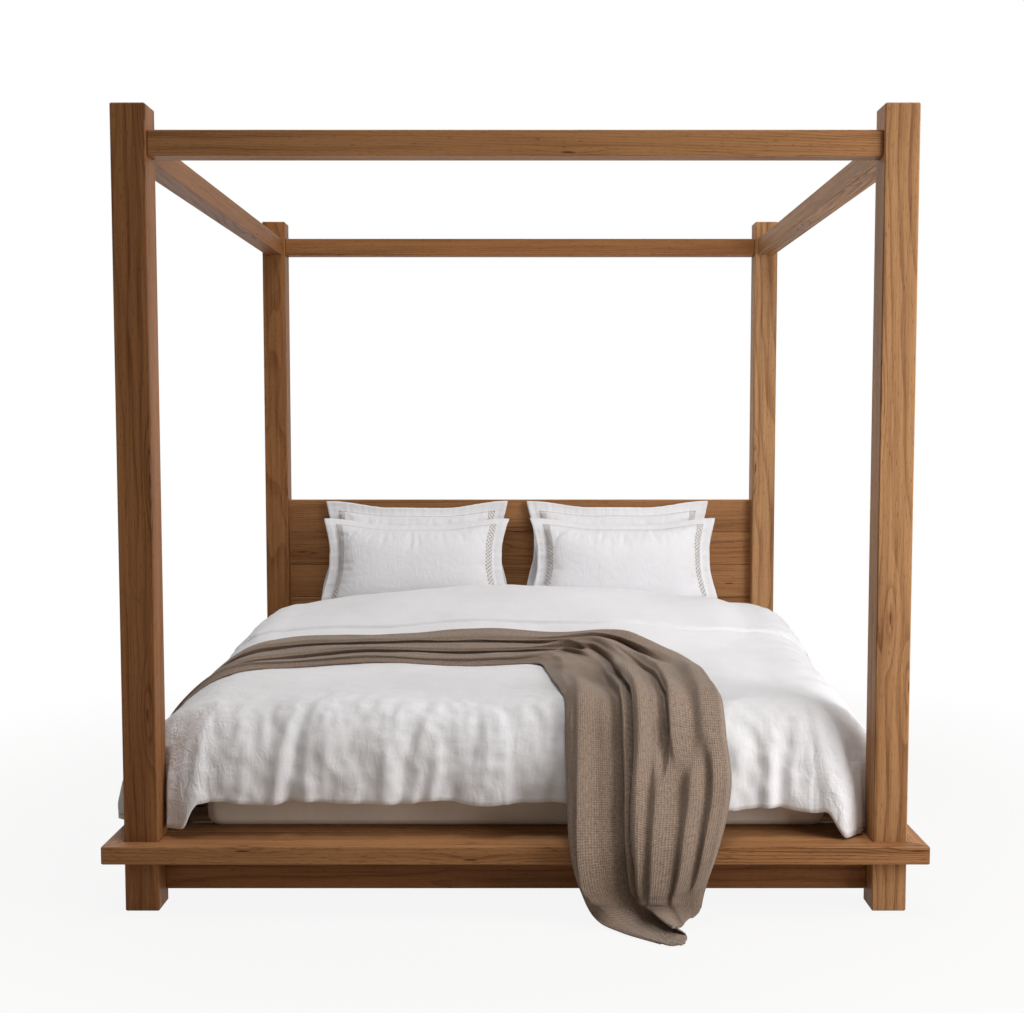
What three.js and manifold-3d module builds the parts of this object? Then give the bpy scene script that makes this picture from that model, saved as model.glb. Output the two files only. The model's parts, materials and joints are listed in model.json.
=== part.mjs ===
// Four-poster canopy bed in solid timber with a platform ledge, mattress and bedding.
// Millimetres. +Z is up, the head is at +Y, and the origin is on the floor at the middle of the posts.
import * as THREE from "three";
import { mergeVertices } from "three/addons/utils/BufferGeometryUtils.js";
import Module from "manifold-3d";

const wasm = await Module();
wasm.setup();

// Running fit between pieces that touch
const fit = 0.3;

// Posts, measured outside face to outside face
const frameWidth = 2200;
const frameLength = 2186;
const postHeight = 2245;
const postSide = 96;
const postEase = 3;

// Canopy rails between the tops of the posts
const railSide = 70;
const railDrop = 70;
const railEase = 2.5;
const railTenon = { thickness: 30, height: 24, depth: 56, rise: 15 };

// Platform ledge round the foot of the posts
const deckTop = 205;
const deckThickness = 50;
const deckOverhang = 50;
const deckEase = 2.5;

// Aprons under the ledge, flush with the inner faces of the posts
const apronThickness = 28;
const apronHeight = 108;
const apronEase = 2;
const apronTenon = { thickness: 12, height: 42, depth: 40, rise: 27 };

// Slatted base
const slatCount = 13;
const slatWidth = 90;
const slatThickness = 20;
const slatEase = 2;
const cleatWidth = 30;
const cleatHeight = 50;
const beamWidth = 60;
const beamHeight = 90;
const beamEase = 3;
const legSide = 60;
const legEase = 4;
const legSpacing = 650;
const legTenon = { side: 30, height: 30 };

// Steel fittings
const steelThickness = 3;
const screwHole = 3.5;
const screwHoleSides = 12;
const hangerDepth = 50;
const hangerHeight = 56;
const hangerFlange = 26;
const bracketLeg = 80;
const bracketHeight = 64;

// Glides under the posts
const glideRadius = 22;
const glideHeight = 5;
const glideBevel = 1.5;
const glideStemRadius = 5;
const glideStemLength = 18;
const glideSides = 20;

// Headboard of tongued and grooved boards
const boardCount = 6;
const boardThickness = 40;
const boardEase = 2.5;
const headboardHeight = 850;
const headboardSetback = 10;
const housingDepth = 18;
const tongueThickness = 12;
const tongueHeight = 10;

// Mattress in its fitted cover, with the room round it: 1800 by 2000 between these posts
const mattressSideRoom = 104;
const mattressFootRoom = 34;
const mattressPlay = 6;
const mattressHeight = 330;
const mattressCorner = 45;
const mattressEdge = 34;
const mattressCrown = 14;
const mattressDrawIn = 6;
const mattressCornerSteps = 4;
const mattressEdgeSteps = 3;
const mattressCrownShares = [0.93, 0.8, 0.55];

// Pillows in flanged cases, two stacks of two leaning on the headboard
const pillowSideRoom = 71;
const pillowStackGap = 78;
const pillowStackShift = -13;
const pillowFrontShifts = { left: 9, right: 14 };
const pillowFrontSink = 66;
const pillowHeight = 548;
const pillowFlange = 55;
const pillowFlangeThickness = 7;
const pillowFill = 78;
const pillowFlat = 58;
const pillowDrawSideShare = 0.08;
const pillowDrawTopShare = 0.11;
const pillowCornerShares = [0.3, 0.95];
const pillowFlangeWave = 5;
const pillowWaveShares = [0.8, 1.1];
const pillowCrownPower = 4;
const pillowLean = THREE.MathUtils.degToRad(17);
const pillowColumns = 14;
const pillowRows = 10;

// Duvet laid over the mattress, folded over double at the head end
const duvetShift = -12;
const duvetShoulderInset = 50;
const duvetShoulderHeight = 42;
const duvetHeadRoom = 420;
const duvetSideReach = 272;
const duvetFrontReach = 138;
const duvetHemThickness = 26;
const duvetSideHem = 24;
const duvetFrontHem = 98;
const duvetCornerHem = 6;
const duvetCrestRise = 168;
const duvetCrestFallShare = 0.5;
const duvetRiseFromShare = 0.36;
const duvetCrestShare = 0.9;
const duvetBackRound = 95;
const duvetFlapStep = 16;
const duvetFoldDepth = 14;
const duvetFoldPitch = 460;
const duvetPuff = 7;
const duvetPuffPitch = 620;
const duvetFallSteps = 6;
const duvetTopColumns = 13;
const duvetFlapShares = [0.63, 0.65];
const duvetRowShares = [0, 0.09, 0.19, 0.3, 0.42, 0.54, ...duvetFlapShares, 0.72, 0.79, 0.86, 0.92, 0.965, 1];
const duvetFrontFallShares = [0.5, 0.95];
const duvetCornerDraw = 12;
const duvetFullShares = { left: 0.06, right: 0.25 };
const duvetFullFromShare = 0.4;
const duvetSink = 12;

// Throw laid across the bed, turned towards the foot and hanging to the floor
const throwThickness = 10;
const throwLift = 5;
const throwBandWidth = 330;
const throwTailWidth = 440;
const throwHemWidth = 330;
const throwNarrowShare = 0.5;
const throwBandPlace = 745;
const throwStartShare = 0.74;
const throwTurnRadius = 250;
const throwTurnPlace = 105;
const throwTailDrift = 22;
const throwBandFold = 14;
const throwTailFold = 30;
const throwFoldCount = 3;
const throwLedgeStandOff = 4;
const throwToe = 110;
const throwFloorRun = 95;
const throwFloorGap = 0.5;
const throwSteps = 44;
const throwColumns = 12;

// Places worked out from the sizes above
const halfWidth = frameWidth / 2;
const halfLength = frameLength / 2;
const innerX = halfWidth - postSide;
const innerY = halfLength - postSide;
const deckBottom = deckTop - deckThickness;
const railMiddle = postHeight - railDrop - railSide / 2;
const apronMiddle = deckBottom - fit - apronHeight / 2;
const slatBottom = deckTop - slatThickness;
const beamTop = slatBottom - fit;
const beamBottom = beamTop - beamHeight;
const headboardBack = halfLength - headboardSetback;
const headboardFront = headboardBack - boardThickness;
const mattressBottom = deckTop + fit;
const mattressTop = mattressBottom + mattressHeight;
const mattressBack = headboardFront - mattressPlay;
const mattressFront = -innerY + mattressFootRoom;
const mattressWidth = 2 * (innerX - mattressSideRoom);
const mattressLength = mattressBack - mattressFront;
const pillowWidth = (mattressWidth - pillowStackGap) / 2 - pillowSideRoom;
const duvetLength = mattressLength - duvetShoulderInset - duvetHeadRoom;

const finishes = {
  timber: { color: 0x8a5a38, roughness: 0.55, metalness: 0 },
  slatTimber: { color: 0xb08a5e, roughness: 0.6, metalness: 0 },
  steel: { color: 0x8d9093, roughness: 0.4, metalness: 0.9 },
  glide: { color: 0x2b2622, roughness: 0.6, metalness: 0 },
  cover: { color: 0xcfc8bd, roughness: 0.9, metalness: 0 },
  linen: { color: 0xe9e8ec, roughness: 0.9, metalness: 0 },
  waffle: { color: 0x86735f, roughness: 0.95, metalness: 0 },
};

const bed = new THREE.Group();
bed.name = "canopy_bed";

function add(name, geometry, finish) {
  const mesh = new THREE.Mesh(geometry, new THREE.MeshStandardMaterial(finishes[finish]));
  mesh.name = name;
  bed.add(mesh);
}

// Geometry to solid and back, with shared vertices merged

function solid(geometry) {
  const bare = new THREE.BufferGeometry();
  bare.setAttribute("position", geometry.getAttribute("position"));
  bare.setIndex(geometry.getIndex());
  const merged = mergeVertices(bare);
  return new wasm.Manifold(new wasm.Mesh({
    numProp: 3,
    vertProperties: merged.getAttribute("position").array,
    triVerts: new Uint32Array(merged.getIndex().array),
  }));
}

function skin(manifold) {
  const mesh = manifold.getMesh();
  const geometry = new THREE.BufferGeometry();
  geometry.setAttribute("position", new THREE.BufferAttribute(mesh.vertProperties, mesh.numProp));
  geometry.setIndex(new THREE.BufferAttribute(mesh.triVerts, 1));
  geometry.computeVertexNormals();
  return geometry;
}

function cut(body, cutters) {
  return cutters.reduce((left, cutter) => left.subtract(cutter), body);
}

// Boxes are held as their lowest and highest corners

function boxAt(centre, size) {
  return {
    lo: centre.map((value, axis) => value - size[axis] / 2),
    hi: centre.map((value, axis) => value + size[axis] / 2),
  };
}

function grown(box, by) {
  return { lo: box.lo.map((value) => value - by), hi: box.hi.map((value) => value + by) };
}

function block({ lo, hi }) {
  const geometry = new THREE.BoxGeometry(...hi.map((value, axis) => value - lo[axis]));
  return solid(geometry.translate(...hi.map((value, axis) => (value + lo[axis]) / 2)));
}

function outline(points) {
  return new THREE.Shape(points.map(([x, y]) => new THREE.Vector2(x, y)));
}

// A flat board cut to an outline, with every edge eased

function board(points, bottom, thickness, ease) {
  const geometry = new THREE.ExtrudeGeometry(outline(points), {
    depth: thickness - 2 * ease,
    bevelThickness: ease,
    bevelSize: ease,
    bevelOffset: -ease,
    bevelSegments: 1,
  });
  return solid(geometry.translate(0, 0, bottom + ease));
}

function easedBar({ lo, hi }, ease) {
  const points = [
    [lo[0] + ease, lo[1]], [hi[0] - ease, lo[1]],
    [hi[0], lo[1] + ease], [hi[0], hi[1] - ease],
    [hi[0] - ease, hi[1]], [lo[0] + ease, hi[1]],
    [lo[0], hi[1] - ease], [lo[0], lo[1] + ease],
  ];
  return board(points, lo[2], hi[2] - lo[2], ease);
}

function cylinderAt(radius, length, sides, place, turn) {
  const geometry = new THREE.CylinderGeometry(radius, radius, length, sides);
  return solid(geometry.applyMatrix4(turn).translate(...place));
}

const alongX = new THREE.Matrix4().makeRotationZ(Math.PI / 2);
const alongY = new THREE.Matrix4();
const alongZ = new THREE.Matrix4().makeRotationX(Math.PI / 2);

// Everything that is let into a post is kept here, and the posts are cut for it at the end

const letIn = [];

// A bar between two posts, with a tenon at each end

function tenonedBar(name, axis, middle, length, thickness, height, ease, tenon, rise) {
  const across = 1 - axis;
  const size = [0, 0, height];
  size[axis] = length;
  size[across] = thickness;
  const bar = boxAt(middle, size);
  const tenons = [-1, 1].map((end) => {
    const place = [...middle];
    place[axis] += end * (length / 2 + tenon.depth / 2 - ease);
    place[2] += rise;
    const tenonSize = [0, 0, tenon.height];
    tenonSize[axis] = tenon.depth + 2 * ease;
    tenonSize[across] = tenon.thickness;
    return boxAt(place, tenonSize);
  });
  letIn.push(...tenons);
  const body = tenons.reduce((joined, box) => joined.add(block(box)), easedBar(bar, ease));
  add(name, skin(body), "timber");
}

// The tenons of the cross rails sit high and those of the side rails sit low, so they pass each other

function railsAndAprons() {
  const ends = [["front", -1], ["back", 1]];
  const sides = [["left", -1], ["right", 1]];
  const postMiddle = postSide / 2;
  const apronMiddleOut = apronThickness / 2;
  for (const [place, sign] of ends) {
    const length = 2 * (innerX - fit);
    tenonedBar(`canopy_rail_${place}`, 0, [0, sign * (innerY + postMiddle), railMiddle],
      length, railSide, railSide, railEase, railTenon, railTenon.rise);
    tenonedBar(`apron_${place}`, 0, [0, sign * (innerY + apronMiddleOut), apronMiddle],
      length, apronThickness, apronHeight, apronEase, apronTenon, apronTenon.rise);
  }
  for (const [place, sign] of sides) {
    const length = 2 * (innerY - fit);
    tenonedBar(`canopy_rail_${place}`, 1, [sign * (innerX + postMiddle), 0, railMiddle],
      length, railSide, railSide, railEase, railTenon, -railTenon.rise);
    tenonedBar(`apron_${place}`, 1, [sign * (innerX + apronMiddleOut), 0, apronMiddle],
      length, apronThickness, apronHeight, apronEase, apronTenon, -apronTenon.rise);
  }
}

// Headboard boards: a tongue on top, a groove below, and ends housed in the back posts

function boardOutline(height, hasGroove, hasTongue) {
  const middle = boardThickness / 2;
  const halfTongue = tongueThickness / 2;
  const halfGroove = halfTongue + fit;
  const grooveDepth = tongueHeight + fit;
  const groove = [
    [middle - halfGroove, 0], [middle - halfGroove, grooveDepth],
    [middle + halfGroove, grooveDepth], [middle + halfGroove, 0],
  ];
  const tongue = [
    [middle + halfTongue, height], [middle + halfTongue, height + tongueHeight],
    [middle - halfTongue, height + tongueHeight], [middle - halfTongue, height],
  ];
  return outline([
    [boardEase, 0], ...(hasGroove ? groove : []), [boardThickness - boardEase, 0],
    [boardThickness, boardEase], [boardThickness, height - boardEase],
    [boardThickness - boardEase, height], ...(hasTongue ? tongue : []), [boardEase, height],
    [0, height - boardEase], [0, boardEase],
  ]);
}

function headboard() {
  const pitch = headboardHeight / boardCount;
  const length = 2 * (innerX + housingDepth);
  const lieAlongX = new THREE.Matrix4().makeBasis(
    new THREE.Vector3(0, 1, 0), new THREE.Vector3(0, 0, 1), new THREE.Vector3(1, 0, 0));
  for (let index = 0; index < boardCount; index += 1) {
    const bottom = deckTop + fit + index * pitch;
    const height = pitch - fit;
    const profile = boardOutline(height, index > 0, index < boardCount - 1);
    const geometry = new THREE.ExtrudeGeometry(profile, { depth: length, bevelEnabled: false });
    geometry.applyMatrix4(lieAlongX).translate(-length / 2, headboardFront, bottom);
    add(`headboard_board_${index + 1}`, skin(solid(geometry)), "timber");
    letIn.push({
      lo: [-length / 2, headboardFront, bottom],
      hi: [length / 2, headboardBack, bottom + height],
    });
  }
}

// Foot glides: a disc with a stem that is pressed into the end of each post

function glides(corners) {
  const profile = [
    [0, 0], [glideRadius - glideBevel, 0], [glideRadius, glideBevel], [glideRadius, glideHeight],
    [glideStemRadius, glideHeight], [glideStemRadius, glideHeight + glideStemLength],
    [0, glideHeight + glideStemLength],
  ].map(([x, y]) => new THREE.Vector2(x, y));
  const upright = new THREE.Matrix4().makeRotationX(Math.PI / 2);
  for (const { name, x, y } of corners) {
    const geometry = new THREE.LatheGeometry(profile, glideSides).applyMatrix4(upright);
    add(`foot_glide_${name}`, skin(solid(geometry.translate(x, y, 0))), "glide");
  }
}

function posts(corners) {
  const holeDepth = glideStemLength + fit;
  const bottom = glideHeight + fit;
  for (const { name, x, y } of corners) {
    const shaft = boxAt([x, y, (bottom + postHeight) / 2], [postSide, postSide, postHeight - bottom]);
    const stemHole = cylinderAt(glideStemRadius + fit, 2 * holeDepth, glideSides, [x, y, bottom], alongZ);
    const sockets = letIn.map((box) => block(grown(box, fit)));
    add(`post_${name}`, skin(cut(easedBar(shaft, postEase), [...sockets, stemHole])), "timber");
  }
}

// Ledge boards: mitred at the front corners and notched open round the posts

function ledge() {
  const outerX = halfWidth + deckOverhang;
  const outerY = halfLength + deckOverhang;
  const front = [
    [-outerX + fit, -outerY], [outerX - fit, -outerY], [halfWidth, -halfLength - fit],
    [innerX - fit, -halfLength - fit], [innerX - fit, -innerY], [-innerX + fit, -innerY],
    [-innerX + fit, -halfLength - fit], [-halfWidth, -halfLength - fit],
  ];
  const right = [
    [outerX, -outerY + fit], [outerX, halfLength], [halfWidth + fit, halfLength],
    [halfWidth + fit, innerY - fit], [innerX, innerY - fit], [innerX, -innerY + fit],
    [halfWidth + fit, -innerY + fit], [halfWidth + fit, -halfLength],
  ];
  const left = right.map(([x, y]) => [-x, y]).reverse();
  for (const [place, points] of [["front", front], ["left", left], ["right", right]]) {
    add(`deck_board_${place}`, skin(board(points, deckBottom, deckThickness, deckEase)), "timber");
  }
  const back = { lo: [-innerX + fit, innerY, deckBottom], hi: [innerX - fit, halfLength, deckTop] };
  add("deck_board_back", skin(easedBar(back, deckEase)), "timber");
}

// Slatted base on side cleats and a centre beam. The first slat lies against the ledge and shows, so it is of the
// frame's timber.

function slats() {
  const first = -innerY + fit + slatWidth / 2;
  const pitch = (-2 * first) / (slatCount - 1);
  for (let index = 0; index < slatCount; index += 1) {
    const middle = [0, first + index * pitch, slatBottom + slatThickness / 2];
    const size = [2 * (innerX - fit), slatWidth, slatThickness];
    const number = String(index + 1).padStart(2, "0");
    const finish = index === 0 ? "timber" : "slatTimber";
    add(`slat_${number}`, skin(easedBar(boxAt(middle, size), slatEase)), finish);
  }
  for (const [place, sign] of [["left", -1], ["right", 1]]) {
    const middle = [sign * (innerX - fit - cleatWidth / 2), 0, beamTop - cleatHeight / 2];
    const size = [cleatWidth, 2 * (innerY - fit), cleatHeight];
    add(`cleat_${place}`, skin(easedBar(boxAt(middle, size), slatEase)), "slatTimber");
  }
}

function centreBeam() {
  const legs = [["front", -legSpacing], ["middle", 0], ["back", legSpacing]];
  const tenons = legs.map(([, y]) => ({
    lo: [-legTenon.side / 2, y - legTenon.side / 2, beamBottom - legEase - fit],
    hi: [legTenon.side / 2, y + legTenon.side / 2, beamBottom + legTenon.height],
  }));
  legs.forEach(([place, y], index) => {
    const height = beamBottom - fit;
    const leg = easedBar(boxAt([0, y, height / 2], [legSide, legSide, height]), legEase);
    add(`centre_leg_${place}`, skin(leg.add(block(tenons[index]))), "slatTimber");
  });
  const beam = boxAt([0, 0, beamBottom + beamHeight / 2], [beamWidth, 2 * (innerY - fit), beamHeight]);
  const mortises = tenons.map((box) => block(grown(box, fit)));
  add("centre_beam", skin(cut(easedBar(beam, beamEase), mortises)), "slatTimber");
}

// Steel stirrups carry the ends of the beam on the aprons

function beamHangers() {
  const inside = beamWidth / 2 + fit;
  const outside = inside + steelThickness;
  const wide = outside + hangerFlange;
  const floor = beamBottom - fit;
  const bottom = floor - steelThickness;
  const top = bottom + hangerHeight;
  const pocket = { lo: [-inside, -hangerDepth, floor], hi: [inside, 2 * hangerDepth, top + hangerDepth] };
  const cup = { lo: [-outside, 0, bottom], hi: [outside, hangerDepth, top] };
  const plate = { lo: [-wide, 0, bottom], hi: [wide, steelThickness, top] };
  const holes = [-1, 1].flatMap((side) => [-1, 1].map((level) => {
    const x = side * (outside + hangerFlange / 2);
    const z = (bottom + top) / 2 + (level * hangerHeight) / 4;
    return cylinderAt(screwHole, hangerFlange, screwHoleSides, [x, 0, z], alongY);
  }));
  const hanger = cut(block(cup).add(block(plate)), [block(pocket), ...holes]);
  for (const [place, sign] of [["front", -1], ["back", 1]]) {
    const turn = sign < 0 ? 0 : Math.PI;
    const geometry = skin(hanger).rotateZ(turn).translate(0, sign * (innerY - fit), 0);
    add(`beam_hanger_${place}`, geometry, "steel");
  }
}

// Angle brackets hold the aprons square inside each corner

function cornerBrackets(corners) {
  const top = beamTop - cleatHeight - steelThickness;
  const bottom = top - bracketHeight;
  const legs = [[bracketLeg, steelThickness], [steelThickness, bracketLeg]];
  const plates = legs.map(([x, y]) => block({ lo: [0, 0, bottom], hi: [x, y, top] }));
  const holes = [1, 2].flatMap((index) => {
    const along = (index * bracketLeg) / 3 + steelThickness;
    const middle = (bottom + top) / 2;
    return [
      cylinderAt(screwHole, bracketLeg / 2, screwHoleSides, [along, 0, middle], alongY),
      cylinderAt(screwHole, bracketLeg / 2, screwHoleSides, [0, along, middle], alongX),
    ];
  });
  const bracket = cut(plates[0].add(plates[1]), holes);
  const turns = { front_left: 0, front_right: 1, back_right: 2, back_left: 3 };
  for (const { name, x, y } of corners) {
    const geometry = skin(bracket).rotateZ((turns[name] * Math.PI) / 2);
    geometry.translate(Math.sign(x) * (innerX - fit), Math.sign(y) * (innerY - fit), 0);
    add(`corner_bracket_${name}`, geometry, "steel");
  }
}

// Soft pieces

function smooth(from, to, value) {
  return THREE.MathUtils.smoothstep(value, from, to);
}

// A closed body lofted through rings of equal count, with both ends capped

function ringLoft(rings) {
  const count = rings[0].length;
  const points = rings.flat();
  const faces = [];
  rings.slice(1).forEach((ring, level) => {
    ring.forEach((_, index) => {
      const next = (index + 1) % count;
      const [a, b] = [level * count + index, level * count + next];
      faces.push(a, b, b + count, a, b + count, a + count);
    });
  });
  const ends = [[rings[0], 0], [rings[rings.length - 1], points.length - count]];
  ends.forEach(([ring, start], end) => {
    const centre = ring.reduce((sum, point) => sum.add(point), new THREE.Vector3());
    points.push(centre.divideScalar(count));
    ring.forEach((_, index) => {
      const pair = [start + index, start + ((index + 1) % count)];
      faces.push(points.length - 1, ...(end ? pair : pair.reverse()));
    });
  });
  const geometry = new THREE.BufferGeometry().setFromPoints(points);
  geometry.setIndex(faces);
  return geometry;
}

function roundedRing(halfX, halfY, radius, z) {
  const ring = [];
  const signs = [[1, 1], [-1, 1], [-1, -1], [1, -1]];
  signs.forEach(([signX, signY], quarter) => {
    for (let step = 0; step <= mattressCornerSteps; step += 1) {
      const angle = ((quarter + step / mattressCornerSteps) * Math.PI) / 2;
      const x = signX * (halfX - radius) + radius * Math.cos(angle);
      ring.push(new THREE.Vector3(x, signY * (halfY - radius) + radius * Math.sin(angle), z));
    }
  });
  return ring;
}

// Mattress: rounded edges, sides drawn in between them, and a crowned top

function mattressBody(extra) {
  const low = mattressBottom - extra;
  const shoulder = mattressTop - mattressCrown + extra;
  const levels = [];
  for (let step = 0; step <= mattressEdgeSteps; step += 1) {
    const angle = (step / mattressEdgeSteps) * (Math.PI / 2);
    levels.push([low + mattressEdge * (1 - Math.cos(angle)), mattressEdge * (1 - Math.sin(angle))]);
  }
  levels.push([(low + shoulder) / 2, mattressDrawIn]);
  for (let step = mattressEdgeSteps; step >= 0; step -= 1) {
    const angle = (step / mattressEdgeSteps) * (Math.PI / 2);
    levels.push([shoulder - mattressEdge * (1 - Math.cos(angle)), mattressEdge * (1 - Math.sin(angle))]);
  }
  const halfX = mattressWidth / 2 + extra;
  const halfY = mattressLength / 2 + extra;
  const rings = levels.map(([z, inset]) => {
    return roundedRing(halfX - inset, halfY - inset, mattressCorner - inset, z);
  });
  mattressCrownShares.forEach((share) => {
    const rise = mattressCrown * (1 - smooth(Math.min(...mattressCrownShares), 1, share));
    rings.push(roundedRing(halfX * share, halfY * share, mattressCorner * share, shoulder + rise));
  });
  return ringLoft(rings).translate(0, (mattressFront + mattressBack) / 2, 0);
}

// A closed cloth body between an outer and an inner sheet, each a function of column and row

function clothBody(columns, rows, outer, inner) {
  const points = [];
  const faces = [];
  const at = (sheet, column, row) => (sheet * (rows + 1) + row) * (columns + 1) + column;
  const quad = (a, b, c, d) => faces.push(a, b, c, a, c, d);
  for (const place of [outer, inner]) {
    for (let row = 0; row <= rows; row += 1) {
      for (let column = 0; column <= columns; column += 1) {
        points.push(place(column, row));
      }
    }
  }
  for (let row = 0; row < rows; row += 1) {
    for (let column = 0; column < columns; column += 1) {
      quad(at(0, column, row), at(0, column + 1, row), at(0, column + 1, row + 1), at(0, column, row + 1));
      quad(at(1, column, row), at(1, column, row + 1), at(1, column + 1, row + 1), at(1, column + 1, row));
    }
    quad(at(0, 0, row), at(0, 0, row + 1), at(1, 0, row + 1), at(1, 0, row));
    quad(at(1, columns, row), at(1, columns, row + 1), at(0, columns, row + 1), at(0, columns, row));
  }
  for (let column = 0; column < columns; column += 1) {
    quad(at(1, column, 0), at(1, column + 1, 0), at(0, column + 1, 0), at(0, column, 0));
    quad(at(0, column, rows), at(0, column + 1, rows), at(1, column + 1, rows), at(1, column, rows));
  }
  const geometry = new THREE.BufferGeometry().setFromPoints(points);
  geometry.setIndex(faces);
  return geometry;
}

// Pillow: a crowned body inside a flat flange, with the outline drawn in between its corners

function pillow(fill, back) {
  const spread = (index, count, half) => {
    if (index === 0 || index === count) return index ? half : -half;
    const angle = ((index - 1) / (count - 2)) * Math.PI;
    return -(half - pillowFlange) * Math.cos(angle);
  };
  const bulge = (share) => Math.sqrt(Math.max(0, 1 - share ** pillowCrownPower));
  const place = (column, row, face) => {
    const x = spread(column, pillowColumns, pillowWidth / 2);
    const y = spread(row, pillowRows, pillowHeight / 2);
    const shareX = Math.min(1, Math.abs(x) / (pillowWidth / 2 - pillowFlange));
    const shareY = Math.min(1, Math.abs(y) / (pillowHeight / 2 - pillowFlange));
    const height = Math.min(fill * bulge(shareX) * bulge(shareY), face > 0 && back ? fill : pillowFlat);
    const inwardX = 1 - smooth(...pillowCornerShares, Math.abs(y) / (pillowHeight / 2));
    const inwardY = 1 - smooth(...pillowCornerShares, Math.abs(x) / (pillowWidth / 2));
    const drawX = 1 - pillowDrawSideShare * inwardX;
    const drawY = 1 - pillowDrawTopShare * inwardY;
    const onFlange = Math.max(shareX, shareY) < 1 ? 0 : 1;
    const [turnX, turnY] = pillowWaveShares;
    const phase = 2 * Math.PI * ((turnX * x) / pillowHeight + (turnY * y) / pillowWidth);
    const wave = onFlange * pillowFlangeWave * Math.sin(phase);
    const out = face * (height + pillowFlangeThickness / 2) + wave;
    return new THREE.Vector3(x * drawX, y * drawY, out);
  };
  return clothBody(pillowColumns, pillowRows,
    (column, row) => place(column, row, 1), (column, row) => place(column, row, -1));
}

function pillows() {
  const up = new THREE.Vector3(0, Math.sin(pillowLean), Math.cos(pillowLean));
  const out = new THREE.Vector3(0, -Math.cos(pillowLean), Math.sin(pillowLean));
  const lean = new THREE.Matrix4().makeBasis(new THREE.Vector3(1, 0, 0), up, out);
  const below = solid(mattressBody(fit));
  for (const [side, sign] of [["left", -1], ["right", 1]]) {
    const x = pillowStackShift + (sign * (pillowWidth + pillowStackGap)) / 2;
    const behind = pillow(pillowFill, false).applyMatrix4(lean);
    behind.computeBoundingBox();
    const { min, max } = behind.boundingBox;
    const seat = [headboardFront - fit - max.y, mattressTop + fit - min.z];
    behind.translate(x, ...seat);
    add(`pillow_back_${side}`, skin(solid(behind)), "linen");
    const ahead = pillow(pillowFill, true).applyMatrix4(lean);
    const apart = 2 * pillowFlat + pillowFlangeThickness + fit;
    const slide = -apart * Math.tan(pillowLean) - pillowFrontSink;
    const offset = out.clone().multiplyScalar(apart).addScaledVector(up, slide);
    ahead.translate(x + pillowFrontShifts[side], seat[0] + offset.y, seat[1] + offset.z);
    add(`pillow_front_${side}`, skin(cut(solid(ahead), [below])), "linen");
  }
}

// Duvet: a lofty top that rises to the turned-back end, and falls on three sides

const shoulderX = mattressWidth / 2 - duvetShoulderInset;
const shoulderY = mattressFront + duvetShoulderInset;
const duvetBase = mattressTop + duvetShoulderHeight;

function duvetTop(x, y) {
  const share = (y - shoulderY) / duvetLength;
  const crest = duvetCrestRise * smooth(duvetRiseFromShare, duvetCrestShare, share);
  const cross = 1 - duvetCrestFallShare * (x / shoulderX) ** 2;
  const flap = duvetFlapStep * smooth(...duvetFlapShares, share);
  const wave = (2 * Math.PI) / duvetPuffPitch;
  const puff = duvetPuff * Math.sin(wave * x) * Math.cos(wave * (y - shoulderY));
  const fromBack = Math.max(0, duvetBackRound - (shoulderY + duvetLength - y));
  const roundOff = duvetBackRound - Math.sqrt(Math.max(0, duvetBackRound ** 2 - fromBack ** 2));
  return duvetBase + crest * cross + flap + puff - roundOff;
}

// Where a fall has got to: `angle` is 0 at the sides and a quarter turn at the front

function duvetFall(angle, share, along) {
  const sideways = Math.cos(angle);
  const reach = duvetFrontReach + (duvetSideReach - duvetFrontReach) * sideways ** duvetCornerDraw;
  const frontward = smooth(...duvetFrontFallShares, Math.sin(angle));
  const corner = Math.sin(2 * angle) ** 2;
  const hem = duvetSideHem + (duvetFrontHem - duvetSideHem) * frontward;
  const hemHeight = deckTop + hem + (duvetCornerHem - hem) * corner * (1 - frontward);
  const swing = duvetFoldDepth * share ** 2 * Math.cos((2 * Math.PI * along) / duvetFoldPitch);
  return { reach: reach + swing, hemHeight };
}

// A place on the fall: `stand` is how far it lies outside the duvet, or inside where it is negative

function duvetPoint(x, y, sideShare, frontShare, topHeight, stand) {
  const share = Math.max(Math.abs(sideShare), frontShare);
  const start = new THREE.Vector3(x, y, topHeight);
  if (share === 0) return start;
  const angle = Math.atan2(frontShare, Math.abs(sideShare));
  const { reach, hemHeight } = duvetFall(angle, share, x + y);
  const turn = (share * Math.PI) / 2;
  const most = duvetFullShares[sideShare > 0 ? "right" : "left"];
  const full = most * smooth(0, duvetFullFromShare, (y - shoulderY) / duvetLength);
  const out = (reach + stand) * Math.sin(turn) ** (1 - full);
  start.x += Math.sign(sideShare) * out * Math.cos(angle);
  start.y -= out * Math.sin(angle);
  start.z -= (topHeight - hemHeight) * (1 - Math.cos(turn)) ** (1 + full);
  return start;
}

function duvetShell(stand) {
  const columns = duvetTopColumns + 2 * duvetFallSteps;
  const topRows = duvetRowShares.length - 1;
  const rows = topRows + duvetFallSteps;
  const place = (column, row, topHeight, outward) => {
    const before = Math.max(0, duvetFallSteps - column);
    const after = Math.max(0, column - duvetFallSteps - duvetTopColumns);
    const below = Math.max(0, duvetFallSteps - row);
    const topColumn = Math.min(duvetTopColumns, Math.max(0, column - duvetFallSteps));
    const x = shoulderX * ((2 * topColumn) / duvetTopColumns - 1);
    const y = shoulderY + duvetLength * duvetRowShares[Math.max(0, row - duvetFallSteps)];
    return duvetPoint(x, y, (after - before) / duvetFallSteps, below / duvetFallSteps,
      topHeight(x, y), outward);
  };
  const shell = clothBody(columns, rows,
    (column, row) => place(column, row, (x, y) => duvetTop(x, y) + stand, stand),
    (column, row) => place(column, row, () => mattressTop - duvetSink, -duvetHemThickness));
  return solid(shell.translate(duvetShift, 0, 0));
}

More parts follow.
